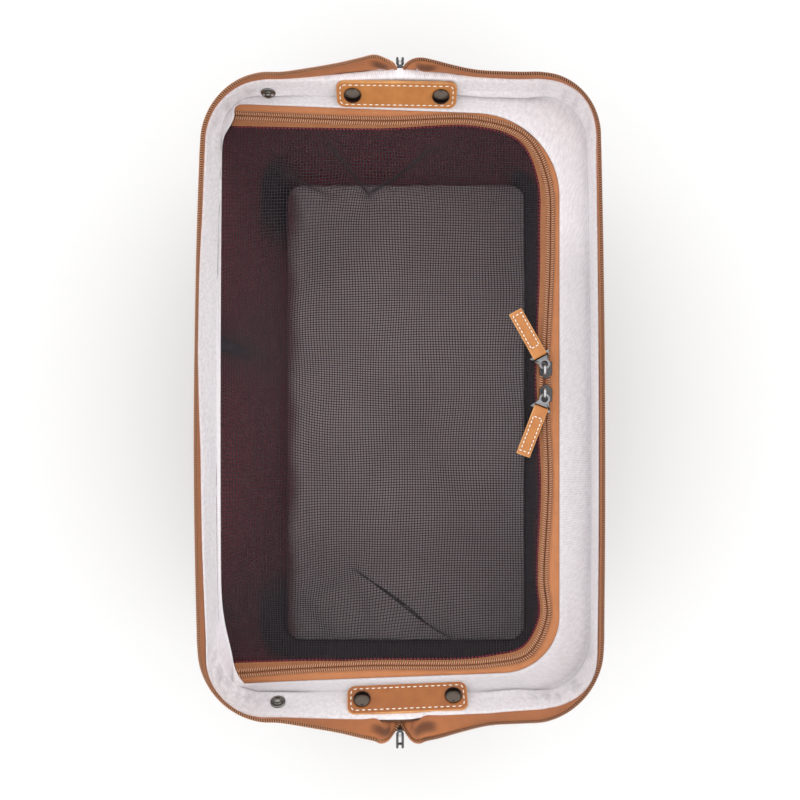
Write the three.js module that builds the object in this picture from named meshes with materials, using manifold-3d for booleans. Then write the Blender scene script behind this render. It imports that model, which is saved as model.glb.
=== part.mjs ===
// A soft pet carrier that stands open, seen best from above: a tall cloth bag with a zipped rim, a white
// collar with a ledge inside the rim, and a net door zipped into the ledge over a dark red cabin.
// Millimetres, +Z up. +Y is the head end, -Y the foot end, -X the side on which the door is hinged.

import * as THREE from 'three';
import { mergeVertices } from 'three/addons/utils/BufferGeometryUtils.js';
import Module from 'manifold-3d';

// Driving dimensions
const SEAT_GAP = 0.3;
const SHELL_WALL = 1.6;
const LINING_WALL = 1;
const LINING_GAP = 0.6;
const TAPE_THICK = 1.2;
const RIM_SEAM_HEIGHT = 264;
const RIM_TAPE_HEIGHT = 277.6;
const RIM_COIL_RADIUS = 1.25;
const RIM_SEAM_INSET = 1.5;
const END_BUMP_SPAN = 85;
const LEDGE_HEIGHT = 245.7;
const LEDGE_THICK = 1.2;
const HEM_START_X = -122;
const HEM_RUN = 7;
const HEM_DROP = 1.5;
const DOOR_TAPE_TOP = 244.2;
const DOOR_TAPE_HIDDEN = 3;
const DOOR_COIL_HALF = 3.2;
const DOOR_COIL_HEIGHT = 2.2;
const DOOR_TAPE_SPLIT = 0.35;
const MESH_TOP = 242.7;
const MESH_THICK = 0.8;
const PAD_BOTTOM = SHELL_WALL + LINING_GAP + LINING_WALL + SEAT_GAP;
const SLIDER_WIDTH = 9;
const SLIDER_LENGTH = 12.4;
const SLIDER_PLATE = 1.6;
const BRIDGE_RADIUS = 3.2;
const BRIDGE_WIRE = 0.9;
const BRIDGE_RISE = 1.2;
const BRIDGE_ROOT = 0.6;
const BRIDGE_STEPS = 10;
const SLIDER_CORNER = 0.9;
const FLANGE_THICK = 0.9;
const FLANGE_LENGTH = 4.6;
const FLANGE_DEPTH = 1.3;
const FLANGE_ROOT = 0.2;
const FLANGE_SETBACK = -1.6;
const LINK_THICK = 1.6;
const LINK_HOLE_RADIUS = 2.4;
const LINK_HOLE_REACH = 4.2;
const LINK_EAR_RADIUS = 4;
const LINK_HALF_WIDTH = 7.9;
const LINK_BAR_REACH = 7.45;
const LINK_BAR = 1.2;
const LINK_SLOT = 1.9;
const PULL_LENGTH = 43;
const PULL_WIDTH = 10.2;
const PULL_THICK = 3;
const PULL_FOLD_RADIUS = 2.2;
const PULL_EYE_RADIUS = 1.15;
const PULL_FLAT_START = 7;
const PULL_DROOP = THREE.MathUtils.degToRad(4);
const BAIL_WIRE = 0.8;
const TAB_LENGTH = 82;
const TAB_WIDTH = 21.5;
const TAB_THICK = 2.4;
const TAB_CORNER = 5.5;
const CAP_RADIUS = 6.2;

// Outer body from the ground to the rim: one row for each level of the bag
const SHELL_ROWS = [
  { z: 0, left: -109, right: 117, head: 208, foot: -226, corner: 26, bump: 0 },
  { z: 4, left: -114.5, right: 122.5, head: 213.5, foot: -231.5, corner: 31, bump: 0 },
  { z: 13, left: -117, right: 125, head: 216, foot: -234, corner: 34, bump: 0 },
  { z: 110, left: -127.5, right: 133, head: 221, foot: -231.5, corner: 39, bump: 0.8 },
  { z: 240, left: -139.5, right: 139.5, head: 224, foot: -223.6, corner: 42, bump: 2 },
  { z: 263.7, left: -142, right: 141, head: 225, foot: -222.7, corner: 44, bump: 2.6 },
];

// Plan of the white collar: the seam under the rim, the crease at the foot of the wall, the ledge's edge
// (corners run from the left of the head, round by the foot)
const COLLAR_CREASE = {
  left: -131.5, right: 136.2, head: 217, foot: -207.8, corners: [26, 30, 38, 34], bump: 1,
};
const COLLAR_EDGE = {
  left: -129, right: 113, head: 207.6, foot: -198.4, corners: [16, 16, 40, 58.5], taper: 0.038,
};

// Edge of the net under its tape, and the folds of the slack net
const MESH_PLAN = { left: -133, right: 102.4, head: 197.4, foot: -187.6, corner: 31, taper: 0.02 };
const MESH_COLUMNS = 15;
const MESH_ROWS = 20;
const MESH_CROWDING = 0.35;
const MESH_SAG = 9;
const MESH_FOLDS = [
  { fromX: -30, fromY: -128, toX: 66, toY: -178, depth: 6, width: 13 },
  { fromX: -70, fromY: 168, toX: -15, toY: 138, depth: 4, width: 16 },
  { fromX: 5, fromY: 140, toX: 52, toY: 182, depth: 4, width: 15 },
  { fromX: -110, fromY: -150, toX: -60, toY: -176, depth: 3, width: 16 },
];

// Line of the door's zip chain from the hinge at the head, round the right side, to the hinge at the foot
const DOOR_ZIP_ROUTE = [
  { x: -121, y: 203.6 },
  { x: -15, y: 199.6 },
  { x: 56, y: 200 },
  { x: 90, y: 188 },
  { x: 105.3, y: 158 },
  { x: 107.5, y: 110 },
  { x: 104, y: 24 },
  { x: 104, y: 2 },
  { x: 106.2, y: -60 },
  { x: 103, y: -128 },
  { x: 104.8, y: -156 },
  { x: 92, y: -181 },
  { x: 66, y: -188 },
  { x: -25, y: -190 },
  { x: -75, y: -192.4 },
  { x: -121, y: -196 },
];
// Tape that shows on each side of the chain's middle, along the route
const DOOR_TAPE_WIDTHS = [
  { at: 0, inner: 7.4, outer: 7.5 },
  { at: 0.15, inner: 4.8, outer: 8.2 },
  { at: 0.24, inner: 3.8, outer: 6.6 },
  { at: 0.34, inner: 7.4, outer: 5.9 },
  { at: 0.5, inner: 6, outer: 7.6 },
  { at: 0.66, inner: 4.4, outer: 9.4 },
  { at: 0.74, inner: 5.6, outer: 8 },
  { at: 0.8, inner: 3.8, outer: 8 },
  { at: 0.9, inner: 3.8, outer: 8.3 },
  { at: 1, inner: 7.6, outer: 6.5 },
];
const DOOR_ZIP_STEPS = 46;

// Rim tape at each end of the bag, from the straight rim over the ear, then down to the slider outside.
// Distance from the slider's line, reach past the rim and rise above it, for the teeth and for the sewn edge.
// Where the tape hangs outside the wall, the teeth's reach is measured from the sewn seam.
const RIM_TEETH = { left: -139.4, right: 138.7, head: 222.5, foot: -219, corners: [40, 48, 50, 40] };
const EAR_ROWS = [
  { across: 60, out: 1.5, rise: 0, hang: 0, sewnAcross: 60, sewnOut: 0.9, sewnRise: -13.6 },
  { across: 41, out: 5.4, rise: 0.6, hang: 0, sewnAcross: 41, sewnOut: 2, sewnRise: -13.4 },
  { across: 26, out: 9, rise: 1.8, hang: 0, sewnAcross: 26, sewnOut: 2.6, sewnRise: -13 },
  { across: 17, out: 10.6, rise: 2.6, hang: 0, sewnAcross: 17, sewnOut: 3.2, sewnRise: -12.4 },
  { across: 10.5, out: 8.6, rise: -1, hang: 1, sewnAcross: 13, sewnOut: 5.2, sewnRise: -11.6 },
  { across: 5.6, out: 7, rise: -9, hang: 1, sewnAcross: 11, sewnOut: 5.6, sewnRise: -15.6 },
  { across: 3.5, out: 6, rise: -17, hang: 1, sewnAcross: 10.2, sewnOut: 5.4, sewnRise: -20 },
  { across: 3.2, out: 5.8, rise: -24.6, hang: 1, sewnAcross: 9.8, sewnOut: 5.3, sewnRise: -24.6 },
];
const RIM_BODY_START = 72;
const RIM_STEPS = 54;

// Sliders, links and pulls of the door: place along the zip, side to which the nose points, swing of the pull
const DOOR_SLIDERS = [
  { name: 'upper_door', x: 104, y: 21.4, turn: 0, swing: 28 },
  { name: 'lower_door', x: 104, y: 4.9, turn: 180, swing: -20.5 },
];
const DOOR_SLIDER_BASE = 247;
// Sliders of the rim zip: face outside each end wall, and the way the bail's legs reach out and drop
const RIM_SLIDERS = [
  { name: 'head_rim', y: 231.7, z: 257.5, side: 1, reach: 3 },
  { name: 'foot_rim', y: -229.4, z: 258, side: -1, reach: 9 },
];
const BAIL_DROP = 9;
const BAIL_HALF_WIDTH = 1.9;
const BAIL_INNER_BAR = 1.1;
const BAIL_BEND = 2;

// Leather tabs: middle of the plate, slope of its face, turn in plan, and the caps' places along it
const TABS = [
  { name: 'head', x: -2.4, y: 215.3, z: 255.4, slope: 54, turn: -0.8, caps: [-31, 31.2], side: 1 },
  { name: 'foot', x: 5.2, y: -210.2, z: 255.2, slope: 45, turn: 2.4, caps: [-32, 32.4], side: -1 },
];
// Snap studs left of the tabs: place on the collar's end wall and slope of that wall
const STUDS = [
  { name: 'head_stud', x: -93.4, y: 217.85, z: 251.2, slope: 72, side: 1 },
  { name: 'foot_stud', x: -86.2, y: -213.1, z: 254.4, slope: 56, side: -1 },
];

const FINISHES = {
  canvas: { color: 0x6e4a33, roughness: 0.85, metalness: 0 },
  burgundy: { color: 0x4a2a30, roughness: 0.9, metalness: 0 },
  greyPad: { color: 0x8d8588, roughness: 0.9, metalness: 0 },
  whiteLining: { color: 0xdcd6d8, roughness: 0.8, metalness: 0 },
  net: { color: 0x2b2326, roughness: 0.7, metalness: 0 },
  tanTape: { color: 0xb67f57, roughness: 0.8, metalness: 0 },
  tanCoil: { color: 0xa9683f, roughness: 0.45, metalness: 0 },
  leather: { color: 0xbd7f47, roughness: 0.5, metalness: 0 },
  gunmetal: { color: 0x6c6c70, roughness: 0.3, metalness: 1 },
  darkSnap: { color: 0x3a3634, roughness: 0.25, metalness: 1 },
};

const wasm = await Module();
wasm.setup();
const carrier = new THREE.Group();

function addPiece(name, geometry, finish, parent = carrier) {
  const material = new THREE.MeshStandardMaterial(FINISHES[finish]);
  const piece = new THREE.Mesh(geometry, material);
  piece.name = name;
  parent.add(piece);
  return piece;
}

// Closed solid through rings of points. Open runs get flat ends, filled across from one side to the other.
function loft(rings, closed = false) {
  const size = rings[0].length;
  const faces = [];
  const spans = closed ? rings.length : rings.length - 1;
  for (let i = 0; i < spans; i += 1) {
    const next = (i + 1) % rings.length;
    for (let j = 0; j < size; j += 1) {
      const k = (j + 1) % size;
      faces.push(i * size + j, i * size + k, next * size + k);
      faces.push(i * size + j, next * size + k, next * size + j);
    }
  }
  if (!closed) {
    const last = (rings.length - 1) * size;
    for (let j = 0; j < Math.ceil(size / 2) - 1; j += 1) {
      const corners = [j, j + 1, size - 2 - j, size - 1 - j];
      faces.push(...fillAcross(corners, 0, true), ...fillAcross(corners, last, false));
    }
  }
  const geometry = new THREE.BufferGeometry();
  const places = rings.flat().flatMap((p) => [p.x, p.y, p.z]);
  geometry.setAttribute('position', new THREE.Float32BufferAttribute(places, 3));
  geometry.setIndex(volume(places, faces) < 0 ? turnedFaces(faces) : faces);
  return geometry;
}

function fillAcross([a, b, c, d], start, backwards) {
  const near = b === c ? [] : [a, b, c];
  const far = [a, c, d];
  const faces = [...near, ...far].map((index) => start + index);
  return backwards ? turnedFaces(faces) : faces;
}

function turnedFaces(faces) {
  const turned = [];
  for (let i = 0; i < faces.length; i += 3) {
    turned.push(faces[i], faces[i + 2], faces[i + 1]);
  }
  return turned;
}

function volume(places, faces) {
  let total = 0;
  const corner = (index) => new THREE.Vector3().fromArray(places, index * 3);
  for (let i = 0; i < faces.length; i += 3) {
    total += corner(faces[i]).dot(corner(faces[i + 1]).cross(corner(faces[i + 2]))) / 6;
  }
  return total;
}

function toSolid(geometry) {
  const bare = geometry.clone();
  bare.deleteAttribute('normal');
  bare.deleteAttribute('uv');
  const merged = mergeVertices(bare, 1e-4);
  const vertProperties = new Float32Array(merged.attributes.position.array);
  const triVerts = new Uint32Array(merged.index.array);
  return new wasm.Manifold(new wasm.Mesh({ numProp: 3, vertProperties, triVerts }));
}

function joined(geometries) {
  const solid = geometries.map(toSolid).reduce((sum, next) => sum.add(next));
  const { vertProperties, triVerts } = solid.getMesh();
  const geometry = new THREE.BufferGeometry();
  geometry.setAttribute('position', new THREE.BufferAttribute(vertProperties, 3));
  geometry.setIndex(new THREE.BufferAttribute(triVerts, 1));
  return geometry;
}

// Plan outline of the bag with rounded corners, anticlockwise from the middle of the head end.
// A bump pushes the middle of both ends outwards, a taper draws the ends in towards the right.
const HALF_END_STEPS = 5;
const CORNER_STEPS = 5;
const SIDE_STEPS = 6;

function outline(plan) {
  const { left, right, head, foot, bump = 0, taper = 0 } = plan;
  const [headLeft, footLeft, footRight, headRight] = plan.corners ?? Array(4).fill(plan.corner);
  const points = [];
  const run = (from, to, steps) => {
    for (let i = 0; i < steps; i += 1) {
      points.push(new THREE.Vector2().lerpVectors(from, to, i / steps));
    }
  };
  const turn = (x, y, radius, startDegrees) => {
    for (let i = 0; i < CORNER_STEPS; i += 1) {
      const angle = THREE.MathUtils.degToRad(startDegrees + (90 * i) / CORNER_STEPS);
      points.push(new THREE.Vector2(x + radius * Math.cos(angle), y + radius * Math.sin(angle)));
    }
  };
  const at = (x, y) => new THREE.Vector2(x, y);
  run(at(0, head), at(left + headLeft, head), HALF_END_STEPS);
  turn(left + headLeft, head - headLeft, headLeft, 90);
  run(at(left, head - headLeft), at(left, foot + footLeft), SIDE_STEPS);
  turn(left + footLeft, foot + footLeft, footLeft, 180);
  run(at(left + footLeft, foot), at(right - footRight, foot), 2 * HALF_END_STEPS);
  turn(right - footRight, foot + footRight, footRight, 270);
  run(at(right, foot + footRight), at(right, head - headRight), SIDE_STEPS);
  turn(right - headRight, head - headRight, headRight, 0);
  run(at(right - headRight, head), at(0, head), HALF_END_STEPS);
  for (const point of points) {
    const end = point.y / (point.y > 0 ? head : -foot);
    point.y += Math.sign(point.y) * bump * Math.abs(end) ** 8 * endBump(point.x);
    point.y -= taper * point.x * end;
  }
  return points;
}

function endBump(x) {
  return Math.cos((Math.PI / 2) * Math.min(Math.abs(x) / END_BUMP_SPAN, 1)) ** 2;
}

function inset(plan, distance) {
  const { left, right, head, foot } = plan;
  const corners = (plan.corners ?? Array(4).fill(plan.corner)).map((radius) => radius - distance);
  return {
    ...plan,
    left: left + distance,
    right: right - distance,
    head: head - distance,
    foot: foot + distance,
    corners,
  };
}

function ringAt(plan, z) {
  return outline(plan).map((p) => new THREE.Vector3(p.x, p.y, z));
}

// A cloth bucket that follows the body's rows at a distance inside them, with a floor and an open top
function bucket(rows, distance, wall, topHeight) {
  const last = rows.length - 1;
  const side = (depth) => rows.map((row, i) => {
    const between = i === 0 ? depth : row.z + distance;
    return ringAt(inset(row, depth), i === last ? topHeight : between);
  });
  return loft([...side(distance), ...side(distance + wall).reverse()]);
}

// The lining stops under the net, where the body is a little narrower than at the rim
const liningTop = MESH_TOP - MESH_THICK - SEAT_GAP;
addPiece('outer_shell', bucket(SHELL_ROWS, 0, SHELL_WALL, SHELL_ROWS.at(-1).z), 'canvas');
const liningRows = SHELL_ROWS.slice(0, -1);
addPiece('cabin_lining', bucket(liningRows, SHELL_WALL + LINING_GAP, LINING_WALL, liningTop), 'burgundy');

// Floor pad with a soft edge, pushed towards the right and the foot of the cabin
const PAD_PLAN = { left: -104, right: 118.5, head: 201, foot: -227.4, corner: 30 };
const PAD_ROWS = [
  { rise: 0, draw: 5 },
  { rise: 2.2, draw: 0.8 },
  { rise: 3.6, draw: 0 },
  { rise: 5.4, draw: 1 },
  { rise: 6.2, draw: 4 },
];
const padRings = PAD_ROWS.map(({ rise, draw }) => ringAt(inset(PAD_PLAN, draw), PAD_BOTTOM + rise));
addPiece('floor_pad', loft(padRings), 'greyPad');

// White collar: wall from the rim seam down to the crease, then a ledge in to the door's zip.
// Along the hinge side the ledge is only a narrow hem, which dips on to the net.
function collarGeometry() {
  const seamPlan = inset(SHELL_ROWS.at(-1), SHELL_WALL + SEAT_GAP);
  const seamHeight = SHELL_ROWS.at(-1).z;
  const ledge = (plan, drop) => {
    return outline(plan).map((p) => {
      const hem = THREE.MathUtils.clamp((HEM_START_X - p.x) / HEM_RUN, 0, 1);
      return new THREE.Vector3(p.x, p.y, LEDGE_HEIGHT - drop - HEM_DROP * hem);
    });
  };
  const rings = [
    ringAt(seamPlan, seamHeight),
    ledge(inset(COLLAR_CREASE, -LINING_WALL), LEDGE_THICK),
    ledge(COLLAR_EDGE, LEDGE_THICK),
    ledge(COLLAR_EDGE, 0),
    ledge(COLLAR_CREASE, 0),
    ringAt(inset(seamPlan, LINING_WALL), seamHeight),
  ];
  return loft(rings, true);
}
addPiece('collar_lining', collarGeometry(), 'whiteLining');

// Slack net: sags in the middle, with long shallow folds that run in from its sewn edges
function meshHeight(x, y) {
  const swell = (share) => Math.sin(Math.PI * THREE.MathUtils.clamp(share, 0, 1));
  const across = (x - MESH_PLAN.left) / (MESH_PLAN.right - MESH_PLAN.left);
  const along = (y - MESH_PLAN.foot) / (MESH_PLAN.head - MESH_PLAN.foot);
  const slack = swell(across) * swell(along);
  let height = MESH_TOP - MESH_SAG * Math.sqrt(slack) * Math.min(1, 2 * slack);
  for (const fold of MESH_FOLDS) {
    const runX = fold.toX - fold.fromX;
    const runY = fold.toY - fold.fromY;
    const length = Math.hypot(runX, runY);
    const passed = ((x - fold.fromX) * runX + (y - fold.fromY) * runY) / length ** 2;
    const aside = ((x - fold.fromX) * runY - (y - fold.fromY) * runX) / length;
    height -= fold.depth * swell(passed) * Math.min(1, 3 * slack) * Math.exp(-((aside / fold.width) ** 2));
  }
  return height;
}

function meshGeometry() {
  const { left, right, head, foot, corner, taper } = MESH_PLAN;
  const rows = [];
  for (let i = 0; i <= MESH_ROWS; i += 1) {
    const crowded = 0.5 - 0.5 * Math.cos((Math.PI * i) / MESH_ROWS);
    const along = THREE.MathUtils.lerp(i / MESH_ROWS, crowded, MESH_CROWDING);
    const y = foot + (head - foot) * along;
    const intoCorner = Math.max(0, y - (head - corner), foot + corner - y);
    const rowRight = right - corner + Math.sqrt(Math.max(0, corner ** 2 - intoCorner ** 2));
    const top = [];
    for (let j = 0; j <= MESH_COLUMNS; j += 1) {
      const x = left + ((rowRight - left) * j) / MESH_COLUMNS;
      const tapered = y - (taper * x * y) / head;
      top.push(new THREE.Vector3(x, tapered, meshHeight(x, y)));
    }
    const bottom = top.map((p) => new THREE.Vector3(p.x, p.y, p.z - MESH_THICK)).reverse();
    rows.push([...top, ...bottom]);
  }
  return loft(rows);
}
addPiece('mesh_panel', meshGeometry(), 'net');

// Door zip: four strips that follow one route, each a band between two offsets from the chain's middle line
const doorRoute = new THREE.CatmullRomCurve3(DOOR_ZIP_ROUTE.map((p) => new THREE.Vector3(p.x, p.y, 0)));

function tapeWidth(at, side) {
  const rows = DOOR_TAPE_WIDTHS;
  const index = Math.max(0, rows.findIndex((row) => row.at >= at) - 1);
  const [from, to] = [rows[index], rows[index + 1]];
  return THREE.MathUtils.lerp(from[side], to[side], THREE.MathUtils.smoothstep(at, from.at, to.at));
}

function doorStrip(section) {
  const rings = [];
  for (let i = 0; i <= DOOR_ZIP_STEPS; i += 1) {
    const at = i / DOOR_ZIP_STEPS;
    const place = doorRoute.getPointAt(at);
    const tangent = doorRoute.getTangentAt(at);
    const outward = new THREE.Vector3(-tangent.y, tangent.x, 0);
    rings.push(section(at).map(([offset, z]) => place.clone().addScaledVector(outward, offset).setZ(z)));
  }
  return loft(rings);
}

const doorTapeBottom = DOOR_TAPE_TOP - TAPE_THICK;
const doorCoilBottom = DOOR_TAPE_TOP + SEAT_GAP;
const bandSection = (near, far) => [
  [near, doorTapeBottom],
  [far, doorTapeBottom],
  [far, DOOR_TAPE_TOP],
  [near, DOOR_TAPE_TOP],
];
const coilSection = (side) => [
  [side * DOOR_TAPE_SPLIT, doorCoilBottom],
  [side * DOOR_COIL_HALF, doorCoilBottom],
  [side * DOOR_COIL_HALF, doorCoilBottom + 0.5 * DOOR_COIL_HEIGHT],
  [side * 0.75 * DOOR_COIL_HALF, doorCoilBottom + DOOR_COIL_HEIGHT],
  [side * 0.3 * DOOR_COIL_HALF, doorCoilBottom + DOOR_COIL_HEIGHT],
  [side * DOOR_TAPE_SPLIT, doorCoilBottom + 0.6 * DOOR_COIL_HEIGHT],
];
// Seen from above the route runs clockwise, so its left-hand normal points away from the net
const outerBand = (at) => bandSection(DOOR_TAPE_SPLIT, tapeWidth(at, 'outer') + DOOR_TAPE_HIDDEN);
const innerBand = (at) => bandSection(-DOOR_TAPE_SPLIT, -tapeWidth(at, 'inner'));
addPiece('door_zip_outer_tape', doorStrip(outerBand), 'tanTape');
addPiece('door_zip_inner_tape', doorStrip(innerBand), 'tanTape');
addPiece('door_zip_outer_coil', doorStrip(() => coilSection(1)), 'tanCoil');
addPiece('door_zip_inner_coil', doorStrip(() => coilSection(-1)), 'tanCoil');

// Rim zip: each half runs from the head slider along one long side to the foot slider
function rimEdges(side) {
  const seamPlan = inset(SHELL_ROWS.at(-1), RIM_SEAM_INSET);
  const teethRing = outline(RIM_TEETH);
  const seamRing = outline(seamPlan);
  const straight = teethRing.map((point, i) => ({ teeth: point, seam: seamRing[i] }));
  const wanted = straight.filter(({ teeth }) => side * teeth.x > RIM_BODY_START);
  wanted.sort((a, b) => rimAngle(a.teeth, side) - rimAngle(b.teeth, side));
  const body = wanted.map(({ teeth, seam }) => ({
    teeth: new THREE.Vector3(teeth.x, teeth.y, RIM_TAPE_HEIGHT),
    seam: new THREE.Vector3(seam.x, seam.y, RIM_SEAM_HEIGHT),
  }));
  const ear = (row, end) => {
    const teethLine = end > 0 ? RIM_TEETH.head : RIM_TEETH.foot;
    const seamLine = end > 0 ? seamPlan.head : seamPlan.foot;
    const teethY = (row.hang ? seamLine : teethLine) + end * row.out;
    const seamY = seamLine + end * row.sewnOut;
    return {
      teeth: new THREE.Vector3(side * row.across, teethY, RIM_TAPE_HEIGHT + row.rise),
      seam: new THREE.Vector3(side * row.sewnAcross, seamY, RIM_TAPE_HEIGHT + row.sewnRise),
    };
  };
  const headEar = EAR_ROWS.map((row) => ear(row, 1)).reverse();
  const footEar = EAR_ROWS.map((row) => ear(row, -1));
  return [...headEar, ...body, ...footEar];
}

// Angle from the head end, used to put one half of the rim in order
function rimAngle(point, side) {
  return Math.atan2(side * point.x, point.y);
}

function rimStrips(side) {
  const edges = rimEdges(side);
  const teethCurve = new THREE.CatmullRomCurve3(edges.map((edge) => edge.teeth));
  const seamCurve = new THREE.CatmullRomCurve3(edges.map((edge) => edge.seam));
  const tapeRings = [];
  const coilRings = [];
  for (let i = 0; i <= RIM_STEPS; i += 1) {
    const at = i / RIM_STEPS;
    const teeth = teethCurve.getPoint(at);
    const seam = seamCurve.getPoint(at);
    const width = teeth.clone().sub(seam).normalize();
    const face = teethCurve.getTangent(at).cross(width).normalize();
    const corner = (point, offset) => point.clone().addScaledVector(face, offset);
    const half = TAPE_THICK / 2;
    tapeRings.push([corner(teeth, half), corner(teeth, -half), corner(seam, -half), corner(seam, half)]);
    const middle = teeth.clone().addScaledVector(width, SEAT_GAP + RIM_COIL_RADIUS);
    coilRings.push(wireSection(middle, face, width, RIM_COIL_RADIUS, 5));
  }
  return { tape: loft(tapeRings), coil: loft(coilRings) };
}

function wireSection(middle, across, up, radius, sides = 6) {
  const points = [];
  for (let i = 0; i < sides; i += 1) {
    const angle = (Math.PI * (2 * i + 1)) / sides;
    const point = middle.clone().addScaledVector(across, radius * Math.cos(angle));
    points.push(point.addScaledVector(up, radius * Math.sin(angle)));
  }
  return points;
}

for (const { name, side } of [{ name: 'left', side: -1 }, { name: 'right', side: 1 }]) {
  const strips = rimStrips(side);
  addPiece(`rim_zip_${name}_tape`, strips.tape, 'tanTape');
  addPiece(`rim_zip_${name}_coil`, strips.coil, 'tanCoil');
}

function drawnOut(shape, depth, curveSegments) {
  return new THREE.ExtrudeGeometry(shape, { depth, bevelEnabled: false, curveSegments });
}

// Zip slider in its own frame: plate in XY with the nose at -Y, bridge in the YZ plane over the plate.
// The origin is the middle of the bridge's arc, about which the pull swings.
function sliderGeometry() {
  const half = SLIDER_WIDTH / 2;
  const end = SLIDER_LENGTH / 2;
  const plateBottom = -BRIDGE_RISE - SLIDER_PLATE;
  const shield = new THREE.Shape();
  shield.moveTo(-half + SLIDER_CORNER, end);
  shield.lineTo(half - SLIDER_CORNER, end);
  shield.quadraticCurveTo(half, end, half, end - SLIDER_CORNER);
  shield.lineTo(half, -0.2 * end);
  shield.quadraticCurveTo(0.8 * half, -end, 0, -end);
  shield.quadraticCurveTo(-0.8 * half, -end, -half, -0.2 * end);
  shield.lineTo(-half, end - SLIDER_CORNER);
  shield.quadraticCurveTo(-half, end, -half + SLIDER_CORNER, end);
  const plate = drawnOut(shield, SLIDER_PLATE, 4).translate(0, 0, plateBottom);
  const flanges = [-1, 1].map((side) => {
    const flange = new THREE.BoxGeometry(FLANGE_THICK, FLANGE_LENGTH, FLANGE_DEPTH + FLANGE_ROOT);
    const flangeMiddle = plateBottom + (FLANGE_ROOT - FLANGE_DEPTH) / 2;
    return flange.translate(side * (half - FLANGE_THICK / 2), FLANGE_SETBACK, flangeMiddle);
  });
  const hoop = [new THREE.Vector3(0, BRIDGE_RADIUS, -BRIDGE_RISE - BRIDGE_ROOT)];
  for (let i = 0; i <= BRIDGE_STEPS; i += 1) {
    const angle = (Math.PI * i) / BRIDGE_STEPS;
    hoop.push(new THREE.Vector3(0, BRIDGE_RADIUS * Math.cos(angle), BRIDGE_RADIUS * Math.sin(angle)));
  }
  hoop.push(new THREE.Vector3(0, -BRIDGE_RADIUS, -BRIDGE_RISE - BRIDGE_ROOT));
  const across = new THREE.Vector3(1, 0, 0);
  const wire = hoop.map((point, i) => {
    const before = hoop[Math.max(0, i - 1)];
    const after = hoop[Math.min(hoop.length - 1, i + 1)];
    const tangent = after.clone().sub(before).normalize();
    return wireSection(point, across, tangent.cross(across), BRIDGE_WIRE);
  });
  return joined([plate, ...flanges, loft(wire)]);
}

// Flat triangular link in its own frame: the bridge's hole at the origin, the bar for the leather towards +Y
function linkGeometry() {
  const barFar = LINK_BAR_REACH + LINK_BAR / 2;
  const plate = new THREE.Shape();
  const lean = Math.atan2(LINK_HALF_WIDTH - LINK_EAR_RADIUS, barFar);
  plate.moveTo(LINK_HALF_WIDTH, barFar);
  plate.lineTo(-LINK_HALF_WIDTH, barFar);
  plate.absarc(0, 0, LINK_EAR_RADIUS, Math.PI - lean, 2 * Math.PI + lean, false);
  plate.closePath();
  const hole = new THREE.Path();
  hole.absarc(0, 0, LINK_HOLE_RADIUS, 0, 2 * Math.PI, true);
  const slot = new THREE.Path();
  const slotHalf = PULL_WIDTH / 2 + SEAT_GAP;
  const slotFar = LINK_BAR_REACH - LINK_BAR / 2;
  const slotNear = slotFar - LINK_SLOT;
  slot.moveTo(-slotHalf, slotNear);
  slot.lineTo(-slotHalf, slotFar);
  slot.lineTo(slotHalf, slotFar);
  slot.lineTo(slotHalf, slotNear);
  slot.closePath();
  plate.holes.push(hole, slot);
  return drawnOut(plate, LINK_THICK, 7).translate(0, 0, -LINK_THICK / 2);
}

// Leather strip folded round the link's bar, drawn from the side and drawn out to its width
function pullGeometry() {
  const wrap = new THREE.Shape();
  const end = PULL_LENGTH - LINK_BAR_REACH;
  wrap.absarc(0, 0, PULL_FOLD_RADIUS, Math.PI / 2, (3 * Math.PI) / 2, false);
  wrap.lineTo(PULL_FLAT_START, -PULL_THICK / 2);
  wrap.lineTo(end, -PULL_THICK / 2);
  wrap.lineTo(end, PULL_THICK / 2);
  wrap.lineTo(PULL_FLAT_START, PULL_THICK / 2);
  wrap.closePath();
  const eye = new THREE.Path();
  eye.absarc(0, 0, PULL_EYE_RADIUS, 0, 2 * Math.PI, true);
  wrap.holes.push(eye);
  const geometry = drawnOut(wrap, PULL_WIDTH, 6).translate(0, 0, -PULL_WIDTH / 2);
  geometry.rotateZ(-PULL_DROOP);
  geometry.rotateX(Math.PI / 2);
  geometry.rotateZ(Math.PI / 2);
  return geometry.translate(0, LINK_BAR_REACH, 0);
}

for (const { name, x, y, turn, swing } of DOOR_SLIDERS) {
  const seat = new THREE.Group();
  seat.position.set(x, y, DOOR_SLIDER_BASE + SLIDER_PLATE + BRIDGE_RISE);
  seat.rotation.z = THREE.MathUtils.degToRad(turn);
  carrier.add(seat);
  addPiece(`${name}_slider`, sliderGeometry(), 'gunmetal', seat);
  const swivel = new THREE.Group();
  swivel.position.y = LINK_HOLE_REACH;
  swivel.rotation.z = THREE.MathUtils.degToRad(swing);
  seat.add(swivel);
  addPiece(`${name}_link`, linkGeometry(), 'gunmetal', swivel);
  addPiece(`${name}_pull`, pullGeometry(), 'leather', swivel);
}

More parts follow.
